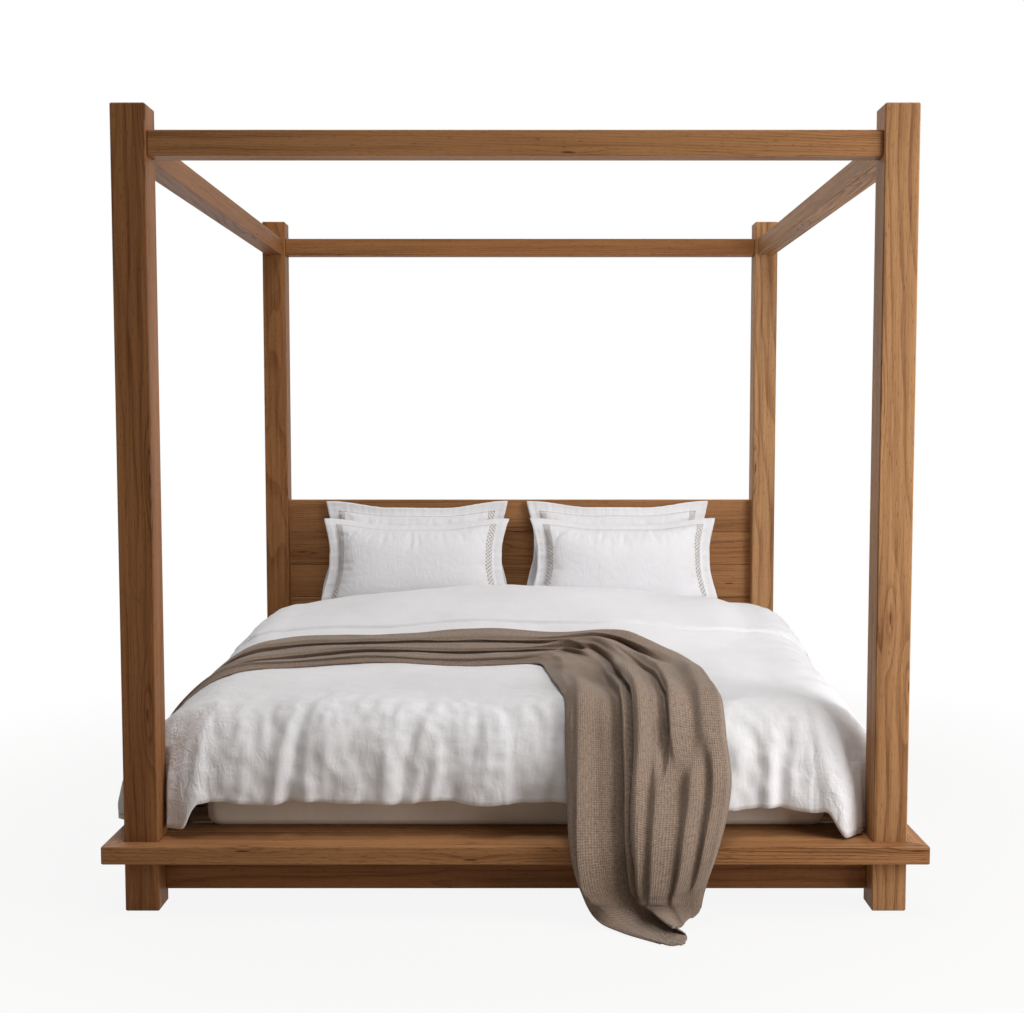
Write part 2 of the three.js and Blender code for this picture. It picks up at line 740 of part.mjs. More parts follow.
function duvet() {
  const reach = halfWidth + duvetSideReach;
  const besidePosts = [-1, 1].map((side) => {
    const near = side * (innerX - fit);
    const far = side * reach;
    return block({
      lo: [Math.min(near, far), -halfLength - reach, 0],
      hi: [Math.max(near, far), -innerY + fit, postHeight],
    });
  });
  const body = cut(duvetShell(0), [solid(mattressBody(fit)), ...besidePosts]);
  add("duvet", skin(body), "linen");
}

// Throw: a ribbon laid out on the duvet, measured across the bed and ahead of the front shoulder

function quarterArc(reach, fall) {
  return (Math.PI / 2) * Math.sqrt((reach ** 2 + fall ** 2) / 2);
}

const sideArc = quarterArc(duvetSideReach, duvetBase - deckTop - duvetSideHem);
const frontArc = quarterArc(duvetFrontReach, duvetBase - deckTop - duvetFrontHem);
const ledgeEdge = -halfLength - deckOverhang;

// The free drop from the duvet's front hem, over the ledge and out along the floor
const throwDrop = new THREE.CatmullRomCurve3([
  [shoulderY - duvetFrontReach, deckTop + duvetFrontHem],
  [ledgeEdge - throwLedgeStandOff, deckTop],
  [ledgeEdge - 2 * throwLedgeStandOff, deckBottom / 2],
  [ledgeEdge - throwToe / 3, throwFloorGap + throwToe / 6],
  [ledgeEdge - throwToe, throwFloorGap],
  [ledgeEdge - throwToe - throwFloorRun, throwFloorGap],
].map(([y, z]) => new THREE.Vector3(0, y, z)));
const dropLength = throwDrop.getLength();

function onBed(across, ahead, lift) {
  const x = THREE.MathUtils.clamp(across, -shoulderX, shoulderX);
  const y = shoulderY - Math.min(0, ahead);
  const sideShare = Math.min(1, Math.abs(across - x) / sideArc) * Math.sign(across);
  const frontShare = THREE.MathUtils.clamp(ahead / frontArc, 0, 1);
  const place = duvetPoint(x, y, sideShare, frontShare, duvetTop(x, y) + lift, lift);
  if (ahead <= frontArc) return place;
  const share = Math.min(1, (ahead - frontArc) / dropLength);
  const start = throwDrop.getPointAt(0);
  const tangent = throwDrop.getTangentAt(share);
  const middle = throwDrop.getPointAt(share);
  const settle = (1 - smooth(0, 1 / 2, share)) * (place.y + lift - start.y);
  return new THREE.Vector3(place.x, middle.y + settle + lift * tangent.z, middle.z - lift * tangent.y);
}

function throwCloth() {
  const turnArc = (Math.PI / 2) * throwTurnRadius;
  const startAcross = -shoulderX - throwStartShare * sideArc;
  const bandLength = throwTurnPlace - startAcross;
  const tailLength = throwBandPlace - throwTurnRadius + frontArc + dropLength;
  const place = (step, column, raise) => {
    const along = (step / throwSteps) * (bandLength + turnArc + tailLength);
    const turned = THREE.MathUtils.clamp((along - bandLength) / turnArc, 0, 1);
    const angle = (turned * Math.PI) / 2;
    const ahead = Math.max(0, along - bandLength - turnArc);
    const hanging = ahead / tailLength;
    const widened = throwBandWidth + (throwTailWidth - throwBandWidth) * smooth(0, 1, turned);
    const width = widened - (throwTailWidth - throwHemWidth) * smooth(throwNarrowShare, 1, hanging);
    const share = column / throwColumns - 1 / 2;
    const across = Math.min(along, bandLength) + startAcross + throwTurnRadius * Math.sin(angle);
    const forward = throwTurnRadius * (1 - Math.cos(angle)) - throwBandPlace + ahead;
    const depth = throwBandFold + (throwTailFold - throwBandFold) * smooth(0, 1, turned);
    const fold = (depth * (1 + Math.cos(2 * Math.PI * throwFoldCount * share))) / 2;
    const drift = throwTailDrift * Math.sin(Math.PI * hanging);
    return onBed(across + drift + share * width * Math.sin(angle), forward - share * width * Math.cos(angle),
      throwLift * (1 - smooth(throwNarrowShare, 1, hanging)) + fold + raise);
  };
  const cloth = clothBody(throwSteps, throwColumns,
    (step, column) => place(step, column, throwThickness), (step, column) => place(step, column, 0));
  const ledgeFront = {
    lo: [-halfWidth, ledgeEdge - fit, deckBottom - fit],
    hi: [halfWidth, -innerY, deckTop + fit],
  };
  const body = solid(cloth.translate(duvetShift, 0, 0));
  add("throw", skin(cut(body, [duvetShell(fit), block(ledgeFront)])), "waffle");
}

const corners = [
  { name: "front_left", x: -1, y: -1 }, { name: "front_right", x: 1, y: -1 },
  { name: "back_left", x: -1, y: 1 }, { name: "back_right", x: 1, y: 1 },
].map(({ name, x, y }) => ({
  name,
  x: x * (halfWidth - postSide / 2),
  y: y * (halfLength - postSide / 2),
}));

railsAndAprons();
headboard();
posts(corners);
glides(corners);
ledge();
slats();
centreBeam();
beamHangers();
cornerBrackets(corners);
add("mattress", skin(solid(mattressBody(0))), "cover");
pillows();
duvet();
throwCloth();

export default bed;
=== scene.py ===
# %% [markdown]
# # A four-poster canopy bed
# This file dresses a bed that was already drawn in CAD. The posts, rails and boards keep their CAD shape and
# get their finish here. The bedding is modelled anew as cloth: the mattress in its cover, the duvet, the
# pillows and the throw. Each step first says what the piece is on a real bed, and then how it is made.

import json
from math import cos, pi, radians, sin, sqrt, tan

import bmesh
import bpy
import numpy as np
from mathutils import Matrix, Vector, noise
from mathutils.bvhtree import BVHTree

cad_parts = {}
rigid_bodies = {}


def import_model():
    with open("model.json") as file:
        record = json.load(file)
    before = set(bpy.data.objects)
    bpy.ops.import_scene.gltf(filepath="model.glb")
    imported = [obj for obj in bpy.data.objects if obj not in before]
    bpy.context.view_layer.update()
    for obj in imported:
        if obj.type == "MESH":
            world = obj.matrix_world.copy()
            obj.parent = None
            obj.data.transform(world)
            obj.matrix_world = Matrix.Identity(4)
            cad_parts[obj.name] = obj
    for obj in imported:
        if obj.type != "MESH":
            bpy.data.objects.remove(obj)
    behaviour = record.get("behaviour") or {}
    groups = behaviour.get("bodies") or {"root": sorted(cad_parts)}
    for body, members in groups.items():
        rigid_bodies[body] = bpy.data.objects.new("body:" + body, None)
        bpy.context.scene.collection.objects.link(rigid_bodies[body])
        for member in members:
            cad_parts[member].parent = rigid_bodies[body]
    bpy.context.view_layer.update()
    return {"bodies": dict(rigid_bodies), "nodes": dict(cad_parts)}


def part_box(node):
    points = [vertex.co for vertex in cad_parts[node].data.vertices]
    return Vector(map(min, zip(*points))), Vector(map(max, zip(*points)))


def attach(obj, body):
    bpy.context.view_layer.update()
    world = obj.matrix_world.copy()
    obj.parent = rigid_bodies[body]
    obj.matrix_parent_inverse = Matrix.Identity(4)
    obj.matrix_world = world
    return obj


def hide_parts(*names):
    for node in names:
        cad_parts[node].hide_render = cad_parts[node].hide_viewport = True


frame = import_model()
nodes = frame["nodes"]
bed = next(iter(frame["bodies"]))
print(len(nodes), "CAD nodes ride on", bed)

# %% [markdown]
# ## Camera
# The photograph looks at the foot of the bed from a few metres away, from chest height and with a lens
# close to normal, and down by almost four degrees. Place, turn and lens were fitted to the edges of the
# posts, the rails and the ledge. A small shift moves the picture on the sensor.

# %% The camera
camera_data = bpy.data.cameras.new("camera")
camera_data.sensor_fit = "HORIZONTAL"
camera_data.sensor_width = 36
camera_data.lens = 47.154
camera_data.shift_x = -0.01636
camera_data.shift_y = 0.01268
camera = bpy.data.objects.new("camera", camera_data)
camera.location = (0.03622, -4.79336, 1.35922)
camera.rotation_euler = (radians(90) - 0.0667, 0, -0.0002)
bpy.context.scene.collection.objects.link(camera)
bpy.context.scene.camera = camera
print("camera", tuple(round(x, 3) for x in camera.location))

# %% [markdown]
# ## Light
# A broad window stands to the right of the bed and in front of it: the right-hand posts are bright in front,
# and the left-hand posts are bright on the faces that look across the bed. A large panel above the foot of
# the bed and the pale room give the rest, and a weak lamp behind the bed lights the sides that the
# photograph doesn't show. A lamp's strength is worked out from the light that should arrive: a lamp of P
# watts lights a surface at distance d by P / (pi d)^2, and at 1 a colour renders as it is written.

# %% The three lamps
def panel(name, place, aim, width, height, level):
    """A rectangular lamp that gives `level` of light at the point it is aimed at."""
    lamp = bpy.data.lights.new(name, "AREA")
    lamp.shape = "RECTANGLE"
    lamp.size, lamp.size_y = width, height
    to_aim = Vector(aim) - Vector(place)
    lamp.energy = level * (pi * to_aim.length) ** 2
    holder = bpy.data.objects.new(name, lamp)
    holder.location = place
    holder.rotation_euler = to_aim.to_track_quat("-Z", "Y").to_euler()
    bpy.context.scene.collection.objects.link(holder)
    print(name, round(lamp.energy), "W")


bed_middle = (0, 0, 0.6)
lamps = (
    # name, place, width, height, level
    ("window", (3.1, -2.4, 1.7), 2.0, 2.4, 0.62),
    ("overhead", (0.3, -1.2, 7.5), 3.0, 3.0, 0.57),
    ("behind", (-2.9, 3.4, 2.6), 2.4, 2.4, 0.13),
)
for name, place, width, height, level in lamps:
    panel(name, place, bed_middle, width, height, level)

# %% [markdown]
# ## Writing a finish
# A finish is a net of nodes. Writing one link at a time hides the idea, so one small class wraps a socket
# and lets it stand in a sum: `1 - ring * 0.3` adds the Math nodes by itself. Any other node comes from one
# method that takes the node's type, its settings and what goes into its sockets.

# %% Sockets that can be written into a sum
class Reading:
    """The value of a socket. Sums of readings and numbers add Math nodes."""

    def __init__(self, finish, socket):
        self.finish = finish
        self.socket = socket

    def math(self, operation, *values):
        settings = {"operation": operation}
        return self.finish.node("ShaderNodeMath", settings, dict(enumerate(values)))

    def __add__(self, other):
        return self.math("ADD", self, other)

    def __sub__(self, other):
        return self.math("SUBTRACT", self, other)

    def __rsub__(self, other):
        return self.math("SUBTRACT", other, self)

    def __mul__(self, other):
        return self.math("MULTIPLY", self, other)

    def __truediv__(self, other):
        return self.math("DIVIDE", self, other)

    def __pow__(self, other):
        return self.math("POWER", self, other)

    def __abs__(self):
        return self.math("ABSOLUTE", self)

    __radd__ = __add__

    def sine(self):
        return self.math("SINE", self)

    def part(self):
        """What is left of the value after its whole number is taken off."""
        return self.math("FRACT", self)

    def least(self, other):
        return self.math("MINIMUM", self, other)

    def most(self, other):
        return self.math("MAXIMUM", self, other)

    def between(self, low, high):
        """0 below `low`, 1 above `high`, and smooth in between."""
        settings = {"interpolation_type": "SMOOTHSTEP"}
        return self.finish.node("ShaderNodeMapRange", settings, {0: self, 1: low, 2: high})


class Finish:
    """A material and the nodes that make its finish."""

    def __init__(self, name):
        self.material = bpy.data.materials.new(name)
        self.material.use_nodes = True
        self.tree = self.material.node_tree
        self.shader = self.tree.nodes["Principled BSDF"]

    def node(self, kind, settings=None, inputs=None, output=0):
        made = self.tree.nodes.new(kind)
        for name, value in (settings or {}).items():
            setattr(made, name, value)
        for name, value in (inputs or {}).items():
            self.feed(made.inputs[name], value)
        return Reading(self, made.outputs[output])

    def feed(self, socket, value):
        if isinstance(value, Reading):
            self.tree.links.new(value.socket, socket)
        else:
            socket.default_value = value

    def set(self, **sockets):
        for name, value in sockets.items():
            self.feed(self.shader.inputs[name.replace("_", " ")], value)

    def place(self, turn=(0, 0, 0), shift=(0, 0, 0)):
        """Object coordinates, turned and moved."""
        here = self.node("ShaderNodeTexCoord", output="Object")
        return self.node("ShaderNodeMapping", None, {"Vector": here, "Location": shift, "Rotation": turn})

    def stretched(self, place, scale, shift=(0, 0, 0)):
        inputs = {"Vector": place, "Location": shift, "Scale": scale}
        return self.node("ShaderNodeMapping", None, inputs)

    def parts(self, place):
        """The three numbers of a place."""
        apart = self.node("ShaderNodeSeparateXYZ", None, {0: place}).socket.node
        return [Reading(self, socket) for socket in apart.outputs]

    def cloud(self, place, scale=1.0, detail=2.0, roughness=0.5, distortion=0.0):
        """Noise from 0 to 1, about 0.5 on average."""
        inputs = {"Vector": place, "Scale": scale, "Detail": detail, "Roughness": roughness,
                  "Distortion": distortion}
        return self.node("ShaderNodeTexNoise", None, inputs)

    def mixed(self, factor, first, second):
        """A colour from `first` at 0 to `second` at 1."""
        colours = {6: self.colour(first), 7: self.colour(second), 0: factor}
        return self.node("ShaderNodeMix", {"data_type": "RGBA"}, colours, output=2)

    def colour(self, value):
        return value if isinstance(value, Reading) else (*value, 1)

    def bump(self, height, distance, strength, under=None):
        """The normal of a relief whose full height is `distance`, on top of the normal `under`."""
        inputs = {"Height": height, "Distance": distance, "Strength": strength}
        if under is not None:
            inputs["Normal"] = under
        return self.node("ShaderNodeBump", None, inputs)


def wear(piece, material):
    """Puts one finish on a whole piece."""
    piece.data.materials.clear()
    piece.data.materials.append(material)
    piece.data.polygons.foreach_set("material_index", [0] * len(piece.data.polygons))
    piece.data.update()


# %% [markdown]
# ## Room
# The floor is plain and pale. It keeps the bed's shadow, but a camera ray sees most of it as white, and the
# white grows with the distance from the bed, so floor and background meet without an edge.

# %% Floor and background
floor_half = 14.0
floor_white_share = 0.9
floor_fade = (1.4, 3.2)
floor_colour = (0.45, 0.4, 0.35)
room_level = 0.12
room_colour = (1.0, 0.9, 0.8)
seen_rays = ("Is Camera Ray", "Is Glossy Ray", "Is Transmission Ray")


def floor_finish():
    finish = Finish("pale_floor")
    finish.set(Base_Color=(*floor_colour, 1), Roughness=0.9)
    x, y, _ = finish.parts(finish.place())
    away = ((x * x + y * y) ** 0.5).between(*floor_fade)
    paths = finish.node("ShaderNodeLightPath").socket.node.outputs
    camera_ray, glossy_ray, through_ray = (Reading(finish, paths[name]) for name in seen_rays)
    seen = camera_ray.most(glossy_ray).most(through_ray)
    white = finish.node("ShaderNodeEmission", None, {"Color": (1, 1, 1, 1), "Strength": 1.0})
    factor = seen * (away * (1 - floor_white_share) + floor_white_share)
    surface = Reading(finish, finish.shader.outputs[0])
    mixed = finish.node("ShaderNodeMixShader", None, {0: factor, 1: surface, 2: white})
    finish.feed(finish.tree.nodes["Material Output"].inputs["Surface"], mixed)
    return finish.material


def room():
    """A room that lights the bed weakly and looks white."""
    world = bpy.data.worlds.new("room")
    world.use_nodes = True
    bpy.context.scene.world = world
    tree = world.node_tree
    paths = tree.nodes.new("ShaderNodeLightPath")
    either = [tree.nodes.new("ShaderNodeMath") for _ in range(2)]
    for made in either:
        made.operation = "MAXIMUM"
    camera_ray, glossy_ray, through_ray = (paths.outputs[name] for name in seen_rays)
    tree.links.new(camera_ray, either[0].inputs[0])
    tree.links.new(glossy_ray, either[0].inputs[1])
    tree.links.new(either[0].outputs[0], either[1].inputs[0])
    tree.links.new(through_ray, either[1].inputs[1])
    seen = tree.nodes.new("ShaderNodeMix")
    seen.data_type = "RGBA"
    seen.inputs[6].default_value = (*(room_level * c for c in room_colour), 1)
    seen.inputs[7].default_value = (1, 1, 1, 1)
    tree.links.new(either[1].outputs[0], seen.inputs[0])
    tree.links.new(seen.outputs[2], tree.nodes["Background"].inputs["Color"])


shape = bmesh.new()
bmesh.ops.create_grid(shape, x_segments=1, y_segments=1, size=floor_half)
floor_mesh = bpy.data.meshes.new("floor")
shape.to_mesh(floor_mesh)
shape.free()
floor = bpy.data.objects.new("floor", floor_mesh)
bpy.context.scene.collection.objects.link(floor)
wear(floor, floor_finish())
room()
bpy.context.scene.view_settings.view_transform = "Standard"
print("floor", 2 * floor_half, "m wide")

# %% [markdown]
# ## Timber
# The posts, rails and boards are solid hardwood under an oiled finish. In a real board the figure is the
# cut through growth rings, so the finish is made in the same way: rings round a pith, which is turned to
# run along the piece and tilted by about a degree. Where a face cuts a tilted ring at a slant, the arches
# of a flat-sawn board appear by themselves, and the end of a post shows rings. Fibres, pores and slow
# changes of tone lie over them. A few small knots push the rings aside and are dark in the middle. The
# tones of some pieces are shifted towards the photograph's: lighter at the right, darker at the left, and
# darker in the back rail, the front apron and the front of the ledge. These shifts are painted light and
# painted shade, not the wood. Without the shifts all pieces are of nearly one tone.

# %% A timber finish
warm_light = (0.42, 0.205, 0.084)
warm_dark = (0.12, 0.04, 0.011)
ring_pitch = 0.007
ring_wander = 0.008
fibre_pitch = 0.0016
fibre_length = 0.07
pore_pitch = 0.0011
pore_length = 0.012
knot_room = 0.13
knot_spacing = 0.9
knot_swell = 0.013
tone_powers = (1, 1.5, 2.0)  # a darker board is also a redder one
painted_light_shifts = {
    # a part of the name, and how much lighter the piece is painted: above 0 painted light, below 0 painted
    # shade
    "right": 0.2,
    "left": -0.18,
    "canopy_rail_back": -0.2,
    "apron_front": -0.2,
    "deck_board_front": -0.08,
}
grain_turns = {"x": (0, radians(-90), 0), "y": (radians(90), 0, 0), "z": (0, 0, 0)}
golden_angle = 2.39996  # spreads the pieces' piths without a pattern


def timber(name, grain, seed, pith, tilt, tone_and_painted_light=1.0, light=warm_light, dark=warm_dark):
    """Hardwood whose grain runs along one axis, with its rings round a pith beside the piece."""
    finish = Finish(name)
    along = finish.place(turn=grain_turns[grain], shift=(0, 0, seed * 3.1))
    inputs = {"Vector": along, "Location": (*pith, 0), "Rotation": (*tilt, 0)}
    x, y, z = finish.parts(finish.node("ShaderNodeMapping", None, inputs))
    inputs = {"X": (x + y) * (1 / knot_room), "Y": z * (1 / knot_spacing)}
    spread = finish.node("ShaderNodeCombineXYZ", None, inputs)
    flat_cells = {"voronoi_dimensions": "2D"}
    from_knot = finish.node("ShaderNodeTexVoronoi", flat_cells, {"Vector": spread, "Scale": 1.0})
    eye = 1 - from_knot.between(0.0, 0.3)
    core = 1 - from_knot.between(0.01, 0.03)
    wander = finish.cloud(finish.stretched(along, (5, 5, 0.9)), detail=2.0) - 0.5
    knots = finish.cloud(finish.stretched(along, (11, 11, 2.6), (seed, 0, 0)), detail=1.0) - 0.5
    reach = (x * x + y * y) ** 0.5 + wander * (4 * ring_wander) + knots * ring_wander
    reach = reach + eye * eye * knot_swell
    phase = (reach / ring_pitch).part()
    late = phase.between(0.45, 0.93) * (1 - phase.between(0.93, 1.0))
    strength = finish.cloud(finish.stretched(along, (3, 3, 0.6), (0, seed, 0)), detail=1.0)
    fibres = finish.cloud(finish.stretched(along, (1 / fibre_pitch, 1 / fibre_pitch, 1 / fibre_length)),
                          scale=0.5, detail=3.0)
    pores = finish.cloud(finish.stretched(along, (1 / pore_pitch, 1 / pore_pitch, 1 / pore_length)),
                         scale=0.5, detail=0.0).between(0.64, 0.76)
    slow = finish.cloud(finish.stretched(along, (9, 9, 0.7), (seed, seed, 0)), detail=2.0)
    streaks = finish.cloud(finish.stretched(along, (70, 70, 1.6), (0, 0, seed)), detail=2.0)
    darkness = late * strength * 0.34 + fibres * 0.45 + (slow - 0.5) * 0.8 + (streaks - 0.5) * 0.6 - 0.06
    darkness = darkness + core * 0.5 + eye * 0.08
    # the tone scales both colours; for some pieces it carries painted light or painted shade
    light, dark = ([c * tone_and_painted_light**power for c, power in zip(colour, tone_powers)] for colour in (light, dark))
    tones = finish.mixed(darkness.between(-0.05, 0.75), light, dark)
    pored = finish.mixed(pores * 0.38, tones, [c * 0.45 for c in dark])
    relief = fibres * 0.6 - pores * 0.7 - late * 0.25
    finish.set(Base_Color=pored, Roughness=0.42 + fibres * 0.16 + late * 0.06, Specular_IOR_Level=0.14,
               Normal=finish.bump(relief, 0.0006, 0.55))
    return finish.material


def grain_of(name):
    """The grain runs along the longest side of a piece."""
    low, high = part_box(name)
    size = high - low
    return "xyz"[max(range(3), key=lambda axis: size[axis])]


def frame_timbers():
    """The posts, rails, ledge, aprons, headboard and first slat, each with its own piece of wood, some with
    painted light and shade.
    """
    starts = ("post_", "canopy_", "apron_", "deck_", "headboard_", "slat_01")
    names = sorted(n for n in nodes if n.startswith(starts))
    for index, name in enumerate(names):
        turn = index * golden_angle
        pith = (0.03 + 0.07 * abs(cos(turn)), 0.03 + 0.06 * abs(sin(turn)))
        tilt = (0.012 * sin(turn * 1.7), 0.02 * cos(turn * 1.3))
        # a small random tone, plus painted light on the right-hand pieces and painted shade on the left-hand
        # ones, the back rail, the front apron and the front of the ledge
        tone_and_painted_light = 1 + 0.05 * sin(turn * 2.1) + sum(shift for part, shift in painted_light_shifts.items() if part in name)
        wear(nodes[name], timber(f"timber_{name}", grain_of(name), index + 1, pith, tilt, tone_and_painted_light))
    print(len(names), "pieces of finished timber")


frame_timbers()

# %% [markdown]
# ## Slats, cleats and the centre beam
# What lies under a mattress is softwood, sanded but not oiled, so it is paler. It takes the same rings
# with other colours. The first slat shows at the foot, and it already has the frame's timber.

# %% Pale softwood
pale_light = (0.62, 0.44, 0.25)
pale_dark = (0.42, 0.25, 0.12)
pale_tilt = (0.018, 0.024)

hidden_timber = [n for n in nodes if n.startswith(("slat_", "cleat_", "centre_")) and n != "slat_01"]
for number, name in enumerate(sorted(hidden_timber)):
    side_pith = (0.05 + 0.004 * number, 0.06)
    wear(nodes[name], timber(f"softwood_{name}", grain_of(name), number + 40, side_pith, pale_tilt,
                             light=pale_light, dark=pale_dark))

# %% [markdown]
# ## Steel and plastic
# The hangers and brackets are zinc-plated sheet: grey, with fine rolling marks and a cloudy sheen. The
# glides under the posts are moulded plastic with a matt, slightly pebbled skin.

# %% Fittings' finishes
zinc_dark = (0.47, 0.48, 0.49)
zinc_light = (0.62, 0.63, 0.64)
plastic_dark = (0.018, 0.015, 0.013)
plastic_light = (0.03, 0.026, 0.023)


def zinc_finish():
    finish = Finish("zinc_plated_steel")
    here = finish.place()
    rolled = finish.cloud(finish.stretched(here, (90, 90, 1400)), detail=2.0)
    cloudy = finish.cloud(finish.stretched(here, (60, 60, 60)), detail=3.0)
    colour = finish.mixed(cloudy.between(0.3, 0.7), zinc_dark, zinc_light)
    finish.set(Base_Color=colour, Metallic=1.0, Roughness=0.28 + cloudy * 0.2,
               Normal=finish.bump(rolled, 0.00008, 0.5))
    return finish.material


def plastic_finish():
    finish = Finish("moulded_plastic")
    pebbles = finish.cloud(finish.place(), scale=1800, detail=1.0)
    colour = finish.mixed(pebbles, plastic_dark, plastic_light)
    finish.set(Base_Color=colour, Roughness=0.55 + pebbles * 0.12, Normal=finish.bump(pebbles, 0.0001, 0.4))
    return finish.material


zinc = zinc_finish()
for name in (n for n in nodes if n.startswith(("beam_hanger_", "corner_bracket_"))):
    wear(nodes[name], zinc)
glide_plastic = plastic_finish()
for name in (n for n in nodes if n.startswith("foot_glide_")):
    wear(nodes[name], glide_plastic)
print("fittings finished")

# %% [markdown]
# ## Cloth shapes
# A woven piece starts as a flat grid, as a cloth starts on the cutting table. Each point of the grid is
# moved to where that thread of the cloth lies on the bed. The grid's own UV map then still measures the flat
# cloth, so a weave follows every fold. The duvet and the pillows then settle in a cloth simulation: the
# cloth is a little too large for its shape, air pushes it out, and no point may move further than a cap.
# Creases are pushed in after it.

# %% Helpers for cloth
settle_frames = 20
cloth_mass = 0.25
cloth_stretch = 12
cloth_shear = 6


def smooth(low, high, value):
    """0 at `low`, 1 at `high`, and smooth in between."""
    share = np.clip((np.asarray(value, float) - low) / (high - low), 0, 1)
    return share * share * (3 - 2 * share)


def hill(value, middle, width):
    """1 in the middle, falling to nothing a few widths away."""
    return np.exp(-(((value - middle) / width) ** 2))


def on_cloth(across, along):
    """Places on the flat cloth, for noise."""
    return np.stack([across, along, np.zeros_like(across)], axis=-1)


def sheet_grid(name, across, along):
    """A flat grid of the given counts, with a UV map from 0 to 1, and its points from -1 to 1."""
    shape = bmesh.new()
    shape.loops.layers.uv.new("cloth")
    bmesh.ops.create_grid(shape, x_segments=across, y_segments=along, size=1, calc_uvs=True)
    return linked(name, shape)


def linked(name, shape):
    """Makes a mesh object of a bmesh, with smooth faces."""
    mesh = bpy.data.meshes.new(name)
    shape.to_mesh(mesh)
    shape.free()
    mesh.polygons.foreach_set("use_smooth", [True] * len(mesh.polygons))
    piece = bpy.data.objects.new(name, mesh)
    bpy.context.scene.collection.objects.link(piece)
    return piece


def points_of(mesh):
    points = np.empty(len(mesh.vertices) * 3)
    mesh.vertices.foreach_get("co", points)
    return points.reshape(-1, 3)


def put(piece, points):
    piece.data.vertices.foreach_set("co", np.ascontiguousarray(points, float).ravel())
    piece.data.update()


def normals_of(mesh):
    normals = np.empty(len(mesh.vertices) * 3)
    mesh.vertices.foreach_get("normal", normals)
    return normals.reshape(-1, 3)


def ripple(points, pitch, seed):
    """Smooth noise from -1 to 1 at each point."""
    at = np.asarray(points) / np.asarray(pitch) + seed * 17.3
    return np.array([noise.noise(Vector(p)) for p in at])


def settle(piece, pressure, growth, cap, bending, held):
    """Lets cloth settle in a simulation, moves no point by more than `cap`, and keeps the result. A point
    where `held` is 1 can't move."""
    start = points_of(piece.data)
    cloth = piece.modifiers.new("cloth", "CLOTH")
    settings = cloth.settings
    settings.quality = 4
    settings.mass = cloth_mass
    settings.tension_stiffness = cloth_stretch
    settings.compression_stiffness = cloth_stretch
    settings.shear_stiffness = cloth_shear
    settings.bending_stiffness = bending
    settings.use_pressure = True
    settings.uniform_pressure_force = pressure
    settings.shrink_min = -growth
    settings.effector_weights.gravity = 0
    cloth.collision_settings.use_collision = False
    group = piece.vertex_groups.new(name="held")
    for index in np.flatnonzero(held > 0):
        group.add([int(index)], float(held[index]), "REPLACE")
    settings.vertex_group_mass = "held"
    scene = bpy.context.scene
    for number in range(1, settle_frames + 1):
        scene.frame_set(number)
    settled = piece.evaluated_get(bpy.context.evaluated_depsgraph_get()).to_mesh()
    moved = points_of(settled) - start
    piece.modifiers.remove(cloth)
    piece.vertex_groups.clear()
    scene.frame_set(1)
    length = np.linalg.norm(moved, axis=1, keepdims=True)
    put(piece, start + moved * np.tanh(length / cap) * cap / np.maximum(length, 1e-9))
    print(piece.name, "settled by", round(float(length.mean()) * 1000, 1), "mm on average")


def finished(piece, *modifiers):
    """Adds modifiers, each a type and its settings, and applies them."""
    for kind, settings in modifiers:
        modifier = piece.modifiers.new(kind.lower(), kind)
        for name, value in settings.items():
            setattr(modifier, name, value)
    seen = bpy.context.evaluated_depsgraph_get()
    seen.update()
    mesh = bpy.data.meshes.new_from_object(piece.evaluated_get(seen), preserve_all_data_layers=True,
                                           depsgraph=seen)
    piece.modifiers.clear()
    piece.data = mesh


# %% [markdown]
# ## Linen
# The duvet and the pillows are washed linen: a plain weave of uneven yarns, with thick places called slubs,
# a dull surface, and fine creases that never iron out. The weave follows the cloth's own UV map. The fine
# creases are noise: on the pillows it lies on the flat cloth, and on the duvet it lies in space, because the
# flat cloth is squeezed together where it fans round the corners.

# %% Linen finish
linen_white = (0.83, 0.83, 0.86)
linen_shade = (0.76, 0.745, 0.74)
yarn_pitch = 0.0011
yarn_run = 22
hem_stitch = 0.014
hanging_edge = (0.3, 0.62)


def flat_cloth(finish, width, length):
    """The cloth's own UV map in metres, and its two numbers."""
    uv = finish.node("ShaderNodeUVMap", {"uv_map": "cloth"})
    flat = finish.stretched(uv, (width, length, 1))
    u, v, _ = finish.parts(flat)
    return flat, u, v


def linen_relief(finish, flat, creased, upright_scale, crossing_scale, creases):
    """The normal of the weave on the `flat` cloth, and of small creases laid out on `creased`, as deep as
    `creases` says."""
    warp = finish.cloud(finish.stretched(flat, (1 / yarn_pitch, yarn_run, 1)), scale=0.5, detail=1.0)
    weft = finish.cloud(finish.stretched(flat, (yarn_run, 1 / yarn_pitch, 1)), scale=0.5, detail=1.0)
    upright = finish.cloud(finish.stretched(creased, upright_scale), detail=3.0, distortion=0.5)
    crossing = finish.cloud(finish.stretched(creased, crossing_scale, (3, 7, 0)), detail=3.0, distortion=0.6)
    sharp = 1 - abs(upright - 0.5) * 4
    soft = 1 - abs(crossing - 0.5) * 4
    weave = finish.bump((warp + weft) * 0.5, 0.0006, 0.35)
    return finish.bump((sharp * 0.6 + soft * 0.4) * creases, 0.0042, 0.8, weave)


